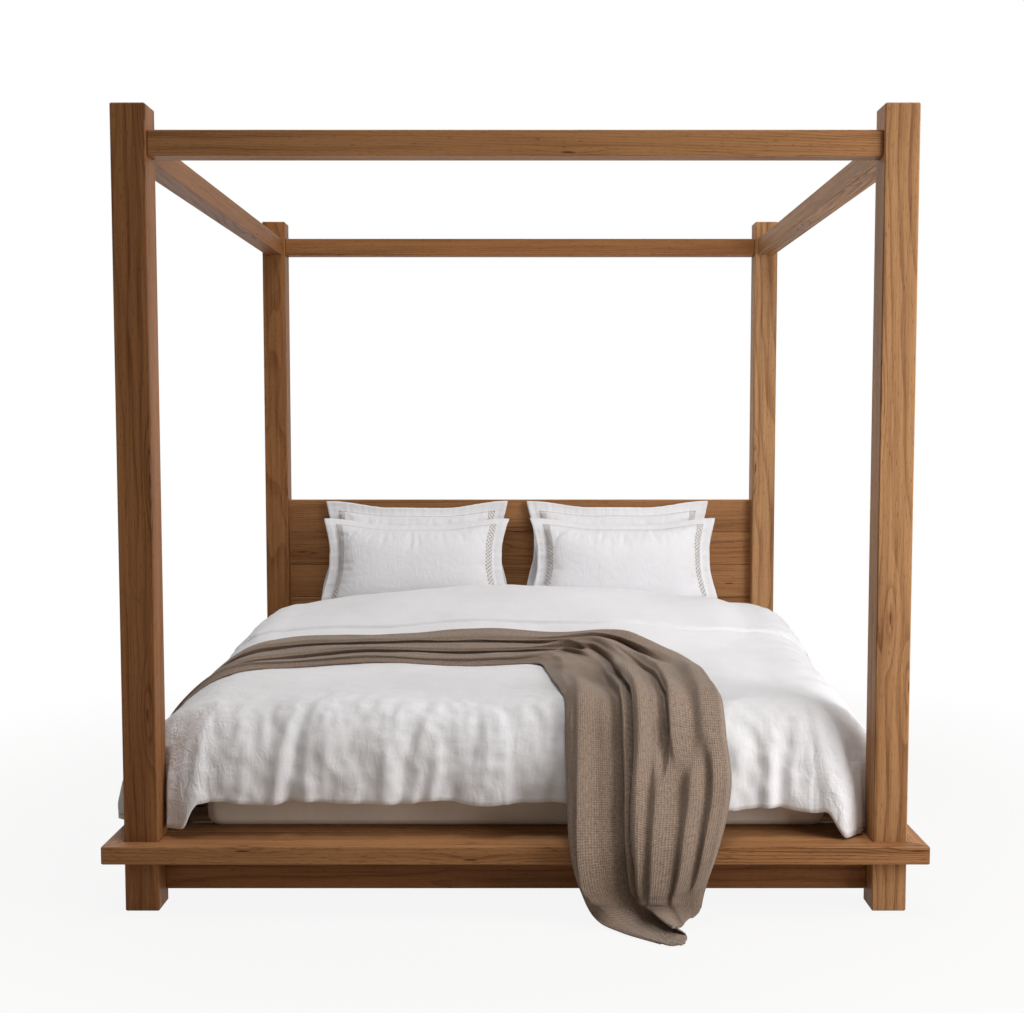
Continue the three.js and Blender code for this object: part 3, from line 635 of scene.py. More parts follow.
def duvet_finish(width, length):
    """Linen that is smooth where it lies, creased where it hangs, and stitched down along its hem."""
    finish = Finish("duvet_linen")
    flat, u, v = flat_cloth(finish, width, length)
    slow = finish.cloud(finish.stretched(flat, (6, 6, 1)), detail=3.0)
    slubs = finish.cloud(finish.stretched(flat, (900, 14, 1)), scale=0.5, detail=1.0)
    colour = finish.mixed(slow.between(0.3, 0.75) * 0.35 + slubs * 0.25, linen_white, linen_shade)
    from_edge = u.least(width - u).least(length - v)
    hanging = 1 - from_edge.between(*hanging_edge) * 0.65
    relief = linen_relief(finish, flat, finish.place(), (44, 44, 16), (20, 20, 34), hanging * 0.75)
    stitched = 1 - abs(from_edge - hem_stitch).between(0.0006, 0.0022)
    gathers = finish.cloud(finish.stretched(flat, (90, 90, 1)), detail=1.0)
    edging = (1 - from_edge.between(hem_stitch, hem_stitch + 0.03)) * gathers
    finish.set(Base_Color=colour, Roughness=0.86 + slubs * 0.1, Sheen_Weight=0.06,
               Normal=finish.bump(edging * 0.8 - stitched * 1.4, 0.004, 0.9, relief))
    return finish.material


# %% [markdown]
# ## Mattress
# The mattress is a deep block in a fitted cover. Its edges are round, its sides draw in a little between the
# seams that run round the top and the bottom, and the cover shows small puckers where it is tucked under. It
# bulges a little at the foot. It starts as a cube, is bevelled to its corners and edges, and is cut into
# even squares so that the puckers can be pushed in.

# %% Mattress
mattress_low, mattress_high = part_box("mattress")
corner_radius = 0.045
edge_radius = 0.033
mattress_crown = 0.014
foot_swell = 0.012
side_draw = 0.006
pucker_depth = 0.0035
slack_depth = 0.0015
cover_seam = 0.03
seam_width = 0.006
seam_depth = 0.0025
cover_light = (0.93, 0.85, 0.77)
cover_dark = (0.82, 0.73, 0.64)


def mattress():
    size = mattress_high - mattress_low
    middle = (mattress_high + mattress_low) / 2
    shape = bmesh.new()
    bmesh.ops.create_cube(shape, size=1, matrix=Matrix.Translation(middle) @ Matrix.Diagonal((*size, 1)))
    round_off = {"offset_type": "OFFSET", "profile": 0.5, "affect": "EDGES", "material": -1}
    uprights = [e for e in shape.edges if abs(e.verts[0].co.z - e.verts[1].co.z) > edge_radius]
    bmesh.ops.bevel(shape, geom=uprights, offset=corner_radius, segments=8, **round_off)
    rims = [e for e in shape.edges if e.verts[0].co.z == e.verts[1].co.z and abs(e.calc_face_angle(0)) > 1]
    bmesh.ops.bevel(shape, geom=rims, offset=edge_radius, segments=5, **round_off)
    piece = linked("mattress_cover", shape)
    finished(piece, ("REMESH", {"mode": "VOXEL", "voxel_size": 0.016, "use_smooth_shade": True}))
    points = points_of(piece.data)
    normals = normals_of(piece.data)
    share = (points[:, 2] - mattress_low.z) / size.z
    on_side = 1 - np.abs(normals[:, 2])
    tucked = smooth(0.35, 0.0, share) * on_side
    run = points * (1, 1, 0.15)
    pucker = ripple(run, 0.035, 1) + 0.5 * ripple(run, 0.016, 2)
    slack = ripple(points, 0.22, 3)
    draw = side_draw * np.sin(np.clip(share, 0, 1) * pi) * on_side
    seams = hill(share * size.z, cover_seam, seam_width) + hill((1 - share) * size.z, cover_seam, seam_width)
    inward = draw + tucked * pucker_depth * (1 + pucker) / 2 + slack_depth * (1 + slack) * on_side
    inward += seam_depth * seams * on_side
    points -= normals * inward[:, None]
    points[:, 0] *= 1 + foot_swell * smooth(-0.3, -0.8, points[:, 1])
    edge = np.minimum(1 - np.abs(points[:, 0]) / mattress_high.x,
                      1 - np.abs(points[:, 1] - middle.y) / (size.y / 2))
    points[:, 2] -= mattress_crown * (1 - smooth(0.02, 0.45, edge)) * smooth(0.6, 1.0, share)
    put(piece, points)
    finished(piece, ("SUBSURF", {"levels": 1, "render_levels": 1}))
    return piece


def cover_finish():
    finish = Finish("mattress_cover")
    here = finish.place()
    upright = finish.cloud(finish.stretched(here, (420, 420, 30)), detail=2.0)
    level = finish.cloud(finish.stretched(here, (30, 30, 900)), detail=2.0)
    slow = finish.cloud(finish.stretched(here, (5, 5, 5)), detail=3.0)
    colour = finish.mixed(slow.between(0.3, 0.7) * 0.5 + upright * 0.3, cover_light, cover_dark)
    folds = finish.cloud(finish.stretched(here, (26, 26, 6)), detail=3.0)
    weave = finish.bump(upright + level, 0.0004, 0.4)
    finish.set(Base_Color=colour, Roughness=0.88 + level * 0.08,
               Normal=finish.bump(folds, 0.004, 0.5, weave))
    return finish.material


cover = mattress()
wear(cover, cover_finish())
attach(cover, bed)
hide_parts("mattress")
print("mattress", len(cover.data.polygons), "faces")

# %% [markdown]
# ## Duvet
# The duvet is a loose, lofty quilt in a linen cover. It lies over the mattress, hangs down on three sides
# and is folded over double at the head end, which makes the high soft crest in front of the pillows and
# the edge that runs across the bed. The folded half isn't a second layer here: it shows as a small step
# and a groove along its edge. The flat cloth is measured outwards from the mattress's shoulders. Each side
# falls on nearly a quarter of an ellipse to its hem, with folds that deepen towards the hem. The corners
# fan round and droop to the ledge, beside the front posts.

# %% Duvet sizes, close to those of the CAD solid
duvet_shift = -0.012
shoulder_x = mattress_high.x - 0.05
shoulder_y = mattress_low.y + 0.05
duvet_base = mattress_high.z + 0.036
duvet_length = 1.53
side_reach = 0.272
front_reach = 0.138
side_hem = 0.024
front_hem = 0.098
corner_hem = 0.006
crest_rise = 0.168
crest_fall_share = 0.5
crest_shares = (0.36, 0.9)
back_round = 0.095
flap_share = 0.64
flap_step = 0.008
flap_groove = 0.009
puff_height = 0.007
puff_pitch = 0.62
crest_swell = 0.022
crest_swell_x = 0.78
ledge_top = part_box("deck_board_front")[1].z
post_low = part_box("post_front_right")[0]
post_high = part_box("post_front_right")[1]
side_arc = pi / 2 * sqrt((side_reach**2 + (duvet_base - ledge_top - side_hem) ** 2) / 2)
front_arc = pi / 2 * sqrt((front_reach**2 + (duvet_base - ledge_top - front_hem) ** 2) / 2)
back_drop = 0.2
back_sag = 0.05
corner_draw = 12
front_fall = (0.5, 0.95)
thread_pitch = 0.0105
full_left, full_right = 0.06, 0.25
full_from_share = 0.4
corner_out = 0.045
lifted_left = 0.02
droop_from = (radians(4), radians(28))
droop_to = (radians(60), radians(76))
beside_post = 0.03
fold_waves = (
    # pitch along the hem, depth, share of the fall where it starts, place
    (0.46, 0.008, 0.1, 0.0),
    (0.213, 0.004, 0.25, 1.1),
    (0.121, 0.003, 0.4, 2.5),
)
deep_folds = (
    # place across the foot, half width, depth
    (-0.615, 0.021, 0.013),
    (-0.3, 0.026, 0.008),
    (0.775, 0.022, 0.011),
)
print("duvet falls", round(side_arc, 3), "m at the sides and", round(front_arc, 3), "m at the foot")


# %% Where a point of the duvet lies
def flap_edge(x):
    """The share of the duvet's length at which the folded half ends."""
    return flap_share + 0.012 * x * x + 0.004 * np.sin(x * 5.1 + 0.6) + 0.0015 * np.sin(x * 17.0)


def duvet_top(x, y):
    """The height of the top, from a place on it."""
    share = (y - shoulder_y) / duvet_length
    crest = crest_rise * smooth(*crest_shares, share) * (1 - crest_fall_share * (x / shoulder_x) ** 2)
    edge = flap_edge(x)
    settled = 1 - 0.35 * smooth(edge + 0.004, edge + 0.06, share)
    flap = flap_step * smooth(edge - 0.001, edge + 0.0035, share) * settled
    groove = flap_groove * hill(share, edge - 0.0014, 0.0018) * (0.7 + 0.3 * np.sin(x * 23 + 1))
    wave = 2 * pi / puff_pitch
    puff = puff_height * np.sin(wave * x) * np.cos(wave * (y - shoulder_y))
    puff = puff + crest_swell * hill(x, crest_swell_x, 0.11) * smooth(0.5, 0.8, share)
    from_back = np.maximum(0, back_round - (shoulder_y + duvet_length - y))
    round_off = back_round - np.sqrt(np.maximum(0, back_round**2 - from_back**2))
    return duvet_base + crest + flap - groove + puff - round_off


def fall_folds(run, share):
    """How far folds swing the fall out, where `run` is measured along the hem. Each family of folds bends a
    little on its way down, comes and goes along the hem, and starts at its own height."""
    swing = 0
    for pitch, depth, start, place in fold_waves:
        bend = 1.1 * np.sin(2 * pi * run / (3.7 * pitch) + place) + 1.3 * share * np.sin(9 * run + place)
        fold = np.cos(2 * pi * run / pitch + place + bend)
        strength = 0.6 + 0.4 * np.cos(2 * pi * run / (5.3 * pitch) + 2 * place)
        swing = swing + depth * strength * smooth(start, 1, share) * (fold + 0.5 * fold * fold)
    return swing


def duvet_place(across, ahead, lift=0.0):
    """Where a point of the flat duvet lies. `across` is measured from the middle, `ahead` from the shoulder
    at the foot outwards, and `lift` is how far the point is above the duvet."""
    x = np.clip(across, -shoulder_x, shoulder_x)
    y = shoulder_y - np.minimum(0, ahead)
    side_share = np.clip(np.abs(across - x) / side_arc, 0, 1)
    front_share = np.clip(ahead / front_arc, 0, 1)
    share = np.maximum(side_share, front_share)
    angle = np.where(share > 0, np.arctan2(front_share, np.maximum(side_share, 1e-9)), 0)
    side = np.sign(across)
    frontward = smooth(*front_fall, np.sin(angle)) * (share > 0)
    run = x + y - side * angle * 0.3
    reach = front_reach + (side_reach - front_reach) * np.cos(angle) ** corner_draw
    reach = reach + fall_folds(run, share) + lift
    reach = reach + corner_out * np.sin(2 * angle) ** 2
    reach = reach + beside_post * np.cos(angle) ** 8 * hill(y, shoulder_y, 0.1) * (side < 0)
    hem = side_hem + (front_hem - side_hem) * frontward
    hem += 0.004 * frontward * (np.cos(run * 19) + 0.7 * np.cos(run * 31 + 1))
    hem -= 0.02 * frontward * smooth(0.2, 0.8, x)
    corner_to = corner_hem + lifted_left * (side < 0)
    hem = ledge_top + hem + (corner_to - hem) * smooth(*droop_from, angle) * (1 - smooth(*droop_to, angle))
    turn = share * pi / 2
    top = duvet_top(x, y) + lift
    full = np.where(side > 0, full_right, full_left)
    full = full * smooth(0, full_from_share, (y - shoulder_y) / duvet_length)
    out = reach * np.sin(turn) ** (1 - full)
    return np.stack([
        x + side * out * np.cos(angle) + duvet_shift,
        y - out * np.sin(angle),
        top - (top - hem) * (1 - np.cos(turn)) ** (1 + full),
    ], axis=-1)


# %% Keeping cloth out of the posts, and off the ledge
post_gap = 0.012


def clear_of_posts(points, gap):
    """Moves points out of the front posts, to the nearer face, and up off the ledge."""
    for side in (-1, 1):
        inside = side * points[:, 0] - (post_low.x - gap)
        behind = (post_high.y + gap) - points[:, 1]
        within = (inside > 0) & (behind > 0) & (side * points[:, 0] < post_high.x + gap)
        ahead = within & (inside <= behind)
        past = within & (inside > behind)
        points[ahead, 0] -= side * inside[ahead]
        points[past, 1] += behind[past]
    points[:, 2] = np.maximum(points[:, 2], ledge_top + gap / 2)
    return points


# %% The duvet's sheet
flap_rows = 40
flap_roll = 0.003


def closer_rows(piece, share, part):
    """Moves a grid's rows, and their places on the UV map, so that a part of them lies close to a share."""
    evenly = np.linspace(0, 1, 2001)
    crowd = hill(evenly, share, 0.02)
    count = np.cumsum((1 - part) / len(crowd) + part * crowd / crowd.sum())
    count = (count - count[0]) / (count[-1] - count[0])
    points = points_of(piece.data)
    points[:, 1] = np.interp((points[:, 1] + 1) / 2, count, evenly) * 2 - 1
    put(piece, points)
    cloth = piece.data.uv_layers["cloth"].data
    places = np.empty(2 * len(cloth))
    cloth.foreach_get("uv", places)
    places[1::2] = np.interp(places[1::2], count, evenly)
    cloth.foreach_set("uv", places)


def duvet_sheet():
    """The duvet's upper sheet, laid over the bed, and where its points lie on the flat cloth."""
    half = shoulder_x + side_arc
    total = front_arc + duvet_length + back_drop
    across_count = round(2 * half / thread_pitch)
    along_count = round(total / thread_pitch) + flap_rows
    piece = sheet_grid("duvet_cover", across_count, along_count)
    closer_rows(piece, (front_arc + flap_share * duvet_length) / total, flap_rows / along_count)
    flat = points_of(piece.data)
    across = flat[:, 0] * half
    ahead = front_arc - (flat[:, 1] + 1) / 2 * total
    back = np.clip((-ahead - duvet_length) / back_drop, 0, 1)
    points = duvet_place(across, np.maximum(ahead, -duvet_length))
    widest = mattress_high.x + 0.008
    rest_x = np.sign(across) * np.minimum(np.abs(points[:, 0]), widest)
    low = mattress_high.z + 0.006 - back_sag * smooth(mattress_high.x - 0.03, widest, np.abs(rest_x))
    rest_z = np.minimum(points[:, 2], low)
    points[:, 0] += (rest_x - points[:, 0]) * back
    points[:, 1] += 0.02 * np.sin(back * pi)
    past_edge = (-ahead / duvet_length - flap_edge(points[:, 0])) / 0.0036
    middle = 1 - smooth(shoulder_x - 0.35, shoulder_x, np.abs(across))
    points[:, 1] -= flap_roll * hill(past_edge, 1.1, 1) * middle
    points[:, 2] += (rest_z - points[:, 2]) * back
    put(piece, points)
    return piece, across, ahead


def creases(down, along, seed):
    """The creases of cloth that hangs: long soft folds, shorter ones, sharp ridges and dents, at a place
    `down` the fall and `along` the hem."""
    flat = on_cloth(along, down)
    bent = on_cloth(along + 0.02 * ripple(flat, (0.2, 0.15, 1), seed + 5), down)
    soft = ripple(bent, (0.062, 0.26, 1), seed)
    short = ripple(bent, (0.034, 0.095, 1), seed + 1)
    ridges = 1 - 3 * np.abs(ripple(bent, (0.045, 0.1, 1), seed + 2))
    dents = ripple(flat, (0.03, 0.024, 1), seed + 3)
    fine = 1 - 3 * np.abs(ripple(bent, (0.02, 0.036, 1), seed + 4))
    return 0.0065 * soft + 0.0055 * short + 0.0032 * ridges + 0.004 * dents + 0.0013 * fine


def crumple(piece, across, ahead):
    """Creases of washed linen. They run down the fall, at the sides and at the foot, and are faint on the
    top. At the corners, where the cloth fans out, shallow dents take their place."""
    outward = np.abs(across)
    sideways = smooth(shoulder_x - 0.05, shoulder_x + 0.15, outward) * (1 - smooth(-0.15, 0.1, ahead))
    corner = smooth(-0.03, 0.06, ahead) * smooth(shoulder_x - 0.04, shoulder_x + 0.05, outward)
    falling = np.maximum(smooth(-0.22, 0.25, ahead), smooth(shoulder_x - 0.08, shoulder_x + 0.3, outward))
    falling = falling * (1 - corner)
    height = creases(ahead, across, 1) * (1 - sideways) + creases(outward, ahead, 11) * sideways
    for place, width, depth in deep_folds:
        run = (across - place - 0.012 * np.sin(ahead * 14)) / width
        fold = 0.8 * hill(run, -1.7, 1) - hill(run, 0, 1)
        height = height + depth * fold * smooth(0.06, 0.24, ahead)
    flat = on_cloth(across, ahead)
    slack = 0.005 * ripple(flat, (0.3, 0.22, 1), 4) + 0.0024 * ripple(flat, (0.07, 0.05, 1), 6)
    points = points_of(piece.data)
    fan = 0.007 * ripple(points, (0.07, 0.07, 0.13), 21) + 0.003 * ripple(points, (0.032, 0.032, 0.05), 22)
    height = height * falling + slack * (1 - corner) + fan * corner
    put(piece, points + normals_of(piece.data) * height[:, None])


duvet, duvet_across, duvet_ahead = duvet_sheet()
edge_held = 1 - smooth(0.0, 0.04, duvet_ahead + duvet_length + back_drop)
settle(duvet, pressure=0.6, growth=0.035, cap=0.011, bending=0.15, held=edge_held)
crumple(duvet, duvet_across, duvet_ahead)
put(duvet, clear_of_posts(points_of(duvet.data), post_gap))
print("duvet", len(duvet.data.polygons), "faces in its upper sheet")

# %% The duvet's lower sheet and finish
duvet_thickness = 0.014
hem_share = 0.3


def duvet_body(piece, across, ahead):
    """Gives the duvet its lower sheet, drawn together at the hems and at the flap's edge."""
    side_edge = shoulder_x + side_arc - np.abs(across)
    front_edge = front_arc - ahead
    from_flap = ahead / duvet_length + flap_edge(np.clip(across, -shoulder_x, shoulder_x))
    inner = smooth(0.0, 0.06, np.minimum(side_edge, front_edge)) * (1 - 0.95 * hill(from_flap, 0, 0.02))
    group = piece.vertex_groups.new(name="loft")
    for index, weight in enumerate(hem_share + (1 - hem_share) * inner):
        group.add([index], float(weight), "REPLACE")
    solid = {"thickness": duvet_thickness, "offset": -1, "vertex_group": "loft", "use_rim": True}
    finished(piece, ("SOLIDIFY", solid))
    piece.vertex_groups.clear()


duvet_body(duvet, duvet_across, duvet_ahead)
wear(duvet, duvet_finish(2 * (shoulder_x + side_arc), front_arc + duvet_length + back_drop))
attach(duvet, bed)
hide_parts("duvet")

# %% [markdown]
# ## Pillows
# Four pillows in flanged cases lean on the headboard in two pairs, one in front of the other. A case is
# two sheets sewn together inside a flat flange, so the pillow is full in the middle, thin at its seam, and
# its outline draws in between pointed corners, at the sides most of all a little above the middle. The
# flange is gathered, and along the top of a front pillow it bends back towards the headboard. Two grids
# make the two sheets, and a band of faces joins their edges. The simulation then puffs them up, while the
# flange is held.

# %% Pillow shape
pillow_width = 0.79
pillow_height = 0.536
flange = 0.046
flange_thickness = 0.006
pillow_fill = 0.078
pillow_flat = 0.055
draw_side_share = 0.085
draw_top_share = 0.11
draw_places = (0.3, 0.95)
side_waist = 0.3
side_draw_places = (0.1, 0.82)
flange_bend = radians(42)
flange_wave = 0.005
flange_gather = 0.0014
crown_power = 2.8
pillow_lean = radians(17)
pillow_columns = 96
pillow_rows = 68


def pillow_shape(name):
    """Two flat sheets, one above the other, joined round their edges."""
    shape = bmesh.new()
    shape.loops.layers.uv.new("cloth")
    for height in (1, -1):
        made = bmesh.ops.create_grid(shape, x_segments=pillow_columns, y_segments=pillow_rows, size=1,
                                     matrix=Matrix.Translation((0, 0, height)), calc_uvs=True)
        if height < 0:
            faces = list({face for vert in made["verts"] for face in vert.link_faces})
            bmesh.ops.reverse_faces(shape, faces=faces)
    rims = [edge for edge in shape.edges if edge.is_boundary]
    bmesh.ops.bridge_loops(shape, edges=rims)
    return linked(name, shape)


def pillow_points(flat, in_front, seed):
    """The places of a lying pillow's points, and how far each is inside the seam, from 0 to 1."""
    x = flat[:, 0] * pillow_width / 2
    y = flat[:, 1] * pillow_height / 2
    share_x = np.minimum(1, np.abs(x) / (pillow_width / 2 - flange))
    share_y = np.minimum(1, np.abs(y) / (pillow_height / 2 - flange))
    bulge = np.sqrt(np.maximum(0, 1 - share_x**crown_power))
    bulge = bulge * np.sqrt(np.maximum(0, 1 - share_y**crown_power))
    lean_limit = np.where((flat[:, 2] > 0) & in_front, pillow_fill, pillow_flat)
    height = np.minimum(pillow_fill * bulge, lean_limit)
    from_waist = np.abs(2 * y / pillow_height - side_waist)
    draw_x = 1 - draw_side_share * (1 - smooth(*side_draw_places, from_waist))
    draw_y = 1 - draw_top_share * (1 - smooth(*draw_places, np.abs(2 * x / pillow_width)))
    outer = smooth(0.97, 1.0, np.maximum(share_x, share_y))
    phase = 2 * pi * (0.8 * x / pillow_height + 1.1 * y / pillow_width) + seed
    gathers = np.sin(x * 190 + seed) * np.sin(x * 47) + np.sin(y * 170 + seed) * np.sin(y * 53)
    wave = outer * (flange_wave * np.sin(phase) + flange_gather * gathers)
    out = flat[:, 2] * (height + flange_thickness / 2) + wave
    y = y * draw_y
    if in_front:
        over = np.maximum(0, y - (pillow_height / 2 - flange) * draw_y)
        y = y - over * (1 - cos(flange_bend))
        out = out - over * sin(flange_bend)
    return np.stack([x * draw_x, y, out], axis=-1), 1 - smooth(0.9, 1.0, np.maximum(share_x, share_y))


def pillow(name, in_front, seed):
    """A filled pillow, lying flat."""
    piece = pillow_shape(name)
    flat = points_of(piece.data)
    points, full = pillow_points(flat, in_front, seed)
    put(piece, points)
    settle(piece, pressure=2.5, growth=0.03, cap=0.009, bending=0.3, held=1 - full)
    points = points_of(piece.data)
    normals = normals_of(piece.data)
    pucker = 1 - 2.4 * np.abs(ripple(points, (0.03, 0.03, 9), seed))
    slack = ripple(points, (0.16, 0.12, 9), seed + 5)
    near_seam = full * (1 - full) * 4
    points += normals * (0.003 * slack * full + 0.0022 * pucker * near_seam + 0.0008 * pucker)[:, None]
    put(piece, points)
    return piece


# %% Pillow finish, with its open-work band
band_from = 0.046
band_to = 0.0715
top_row_place = 0.042
lattice_pitch = 0.0155
thread_gap = 0.0115
# the open-work's colour: the ecru thread, and painted shade inside its holes
ecru_and_hole_shade = (0.27, 0.2, 0.145)


def pillow_finish():
    finish = Finish("pillow_linen")
    flat, u, v = flat_cloth(finish, pillow_width, pillow_height)
    from_side = u.least(pillow_width - u)
    from_top = v.least(pillow_height - v)
    slow = finish.cloud(finish.stretched(flat, (6, 6, 1)), detail=3.0)
    slubs = finish.cloud(finish.stretched(flat, (900, 14, 1)), scale=0.5, detail=1.0)
    plain = finish.mixed(slow.between(0.3, 0.75) * 0.3 + slubs * 0.22, linen_white, linen_shade)
    below_row = from_top.between(top_row_place - 0.001, top_row_place)
    in_column = from_side.between(band_from, band_from + 0.001)
    in_column = in_column * (1 - from_side.between(band_to, band_to + 0.001)) * below_row
    one_way = ((from_side + v) * (pi / lattice_pitch)).sine()
    other_way = ((from_side - v) * (pi / lattice_pitch)).sine()
    lattice = abs(one_way).least(abs(other_way)).between(0.48, 0.62) * in_column
    edge_dots = (v * (2 * pi / thread_gap)).sine().between(0.1, 0.5)
    from_middle = abs(from_side - (band_from + band_to) / 2)
    rails = 1 - abs(from_middle - (band_to - band_from) / 2).between(0.0012, 0.0024)
    rails = rails * edge_dots * below_row
    top_dots = (u * (2 * pi / thread_gap)).sine().between(0.1, 0.5)
    top_row = 1 - abs(from_top - top_row_place - 0.002).between(0.0016, 0.0032)
    top_row = top_row * top_dots * from_side.between(band_from - 0.001, band_from)
    stitched = lattice.most(rails * 0.4).most(top_row)
    hem = 1 - abs(from_side.least(from_top) - flange).between(0.0008, 0.0024)
    # the open-work band is darker than the linen: partly the thread's colour, partly painted shade in its
    # holes
    colour = finish.mixed(stitched * 0.85, plain, ecru_and_hole_shade)
    creased = linen_relief(finish, flat, flat, (52, 15, 1), (20, 34, 1), 0.4)
    finish.set(Base_Color=colour, Roughness=0.86 + slubs * 0.1, Sheen_Weight=0.06,
               Normal=finish.bump(stitched * -0.6 - hem, 0.0016, 0.8, creased))
    return finish.material


# %% Four pillows in two pairs
pillow_middles = {"left": (-0.447, -0.438), "right": (0.421, 0.435)}
front_sink = 0.05
headboard_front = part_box("headboard_board_6")[0].y
seat_gap = 0.002
stack_gap = 0.006


def lean_back(piece):
    """Turns a lying pillow up and leans it back."""
    up = Vector((0, sin(pillow_lean), cos(pillow_lean)))
    out = Vector((0, -cos(pillow_lean), sin(pillow_lean)))
    turn = Matrix((Vector((1, 0, 0)), up, out)).transposed()
    put(piece, points_of(piece.data) @ np.array(turn).T)
    return up, out


def stack(side, seed):
    """Two pillows, the first against the headboard and the second in front of it, lower by `front_sink`."""
    behind_x, ahead_x = pillow_middles[side]
    behind = pillow(f"pillow_case_back_{side}", False, seed)
    up, out = lean_back(behind)
    points = points_of(behind.data)
    seat = Vector((0, headboard_front - seat_gap - points[:, 1].max(),
                   mattress_high.z + seat_gap - points[:, 2].min()))
    put(behind, points + np.array([behind_x, seat.y, seat.z]))
    ahead = pillow(f"pillow_case_front_{side}", True, seed + 2)
    lean_back(ahead)
    apart = 2 * pillow_flat + flange_thickness + stack_gap
    offset = seat + apart * out - (apart * tan(pillow_lean) + front_sink) * up
    points = points_of(ahead.data) + np.array([ahead_x, offset.y, offset.z])
    points[:, 2] = np.maximum(points[:, 2], mattress_high.z + seat_gap)
    put(ahead, points)
    return {f"pillow_back_{side}": behind, f"pillow_front_{side}": ahead}


pillow_linen = pillow_finish()
for node, piece in {**stack("left", 1), **stack("right", 6)}.items():
    wear(piece, pillow_linen)
    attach(piece, bed)
    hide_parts(node)
    print(piece.name, len(piece.data.polygons), "faces")

# %% [markdown]
# ## Throw
# The throw is one long cloth in a waffle weave. It is laid across the bed in three pleats that lean
# towards the foot, then turned, and it hangs over the foot of the bed in broad folds down to the floor. It
# isn't simulated: its edges and its pleats are drawn, one section after the other, and the sections are
# blended. A pleat that leans is a wave that has been pushed over: the higher a point is raised, the further
# it moves sideways.

# %% Throw sizes
throw_width = 0.64
throw_thickness = 0.004
throw_base = 0.006
ledge_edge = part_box("deck_board_front")[0].y
deck_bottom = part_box("deck_board_front")[0].z
toe = 0.11
floor_run = 0.1
floor_gap = 0.003
ledge_gap = 0.006


# %% The free drop, from the duvet's hem over the ledge to the floor
curve_steps = 24


def curve(corners):
    """A smooth curve through corners, which may have any count of numbers each."""
    corners = np.asarray(corners, float)
    rail = np.concatenate([[2 * corners[0] - corners[1]], corners, [2 * corners[-1] - corners[-2]]])
    part = np.linspace(0, 1, curve_steps, endpoint=False)[:, None]
    stretches = [0.5 * (2 * b + (c - a) * part + (2 * a - 5 * b + 4 * c - d) * part**2
                        + (3 * b - a - 3 * c + d) * part**3)
                 for a, b, c, d in zip(rail, rail[1:], rail[2:], rail[3:])]
    return np.concatenate([*stretches, [corners[-1]]])


def runs_along(points):
    """How far each point of a curve lies from its start."""
    return np.concatenate([[0], np.cumsum(np.linalg.norm(np.diff(points, axis=0), axis=1))])


leave_share = 0.55
leave_arc = leave_share * front_arc
fall_path = duvet_place(np.zeros(2), front_arc * np.array([leave_share - 0.15, leave_share]))[:, 1:]
drop = curve([
    *fall_path,
    (ledge_edge - ledge_gap, ledge_top + 0.02),
    (ledge_edge - 0.010, deck_bottom / 2),
    (ledge_edge - toe / 3, floor_gap + toe / 6),
    (ledge_edge - toe, floor_gap),
    (ledge_edge - toe - floor_run, floor_gap),
])[curve_steps:]
drop_runs = runs_along(drop)
drop_length = float(drop_runs[-1])
print("the throw drops", round(drop_length, 3), "m from where it leaves the duvet")


def on_bed(across, ahead, lift):
    """A place on the bed for a point of the throw, raised by `lift`."""
    place = duvet_place(across, np.minimum(ahead, leave_arc), lift)
    bare = duvet_place(across, np.minimum(ahead, leave_arc))
    past = np.clip(ahead - leave_arc, 0, drop_length)
    y = np.interp(past, drop_runs, drop[:, 0])
    z = np.interp(past, drop_runs, drop[:, 1])
    slope_y = np.interp(past, drop_runs, np.gradient(drop[:, 0], drop_runs))
    slope_z = np.interp(past, drop_runs, np.gradient(drop[:, 1], drop_runs))
    join = 1 - smooth(0, 0.4, past / drop_length)
    swung = (bare[:, 1] - drop[0, 0]) * join
    out_y = (place[:, 1] - bare[:, 1]) * join + lift * slope_z * (1 - join)
    out_z = (place[:, 2] - bare[:, 2]) * join - lift * slope_y * (1 - join)
    free = np.stack([bare[:, 0], y + swung + out_y, z + out_z], axis=-1)
    return np.where((ahead > leave_arc)[:, None], free, place)


# %% The throw's two long edges, laid out on the flat duvet
def in_drop(share):
    """A place in the free drop, measured like `ahead`."""
    return leave_arc + share * drop_length


throw_edges = [
    # near edge: across, ahead      far edge: across, ahead
    (-1.20, -0.29, -1.22, -0.66),
    (-1.04, -0.37, -1.07, -0.76),
    (-0.90, -0.45, -0.92, -0.84),
    (-0.72, -0.545, -0.73, -0.885),
    (-0.40, -0.575, -0.41, -0.89),
    (-0.10, -0.585, -0.08, -0.89),
    (0.03, -0.575, 0.14, -0.88),
    (0.085, -0.54, 0.33, -0.865),
    (0.105, -0.44, 0.46, -0.79),
    (0.124, -0.28, 0.575, -0.63),
    (0.14, -0.10, 0.612, -0.40),
    (0.152, 0.07, 0.61, -0.09),
    (0.152, in_drop(0), 0.612, in_drop(0)),
    (0.155, in_drop(0.25), 0.618, in_drop(0.25)),
    (0.165, in_drop(0.5), 0.594, in_drop(0.5)),
    (0.222, in_drop(0.75), 0.552, in_drop(0.75)),
    (0.298, in_drop(0.875), 0.54, in_drop(0.875)),
    (0.395, in_drop(1), 0.525, in_drop(1)),
]
edges = curve(throw_edges)
edge_runs = runs_along((edges[:, :2] + edges[:, 2:]) / 2)
throw_length = float(edge_runs[-1])
throw_columns = 120
throw_rows = 320
print("throw", throw_width, "by", round(throw_length, 2), "m flat")

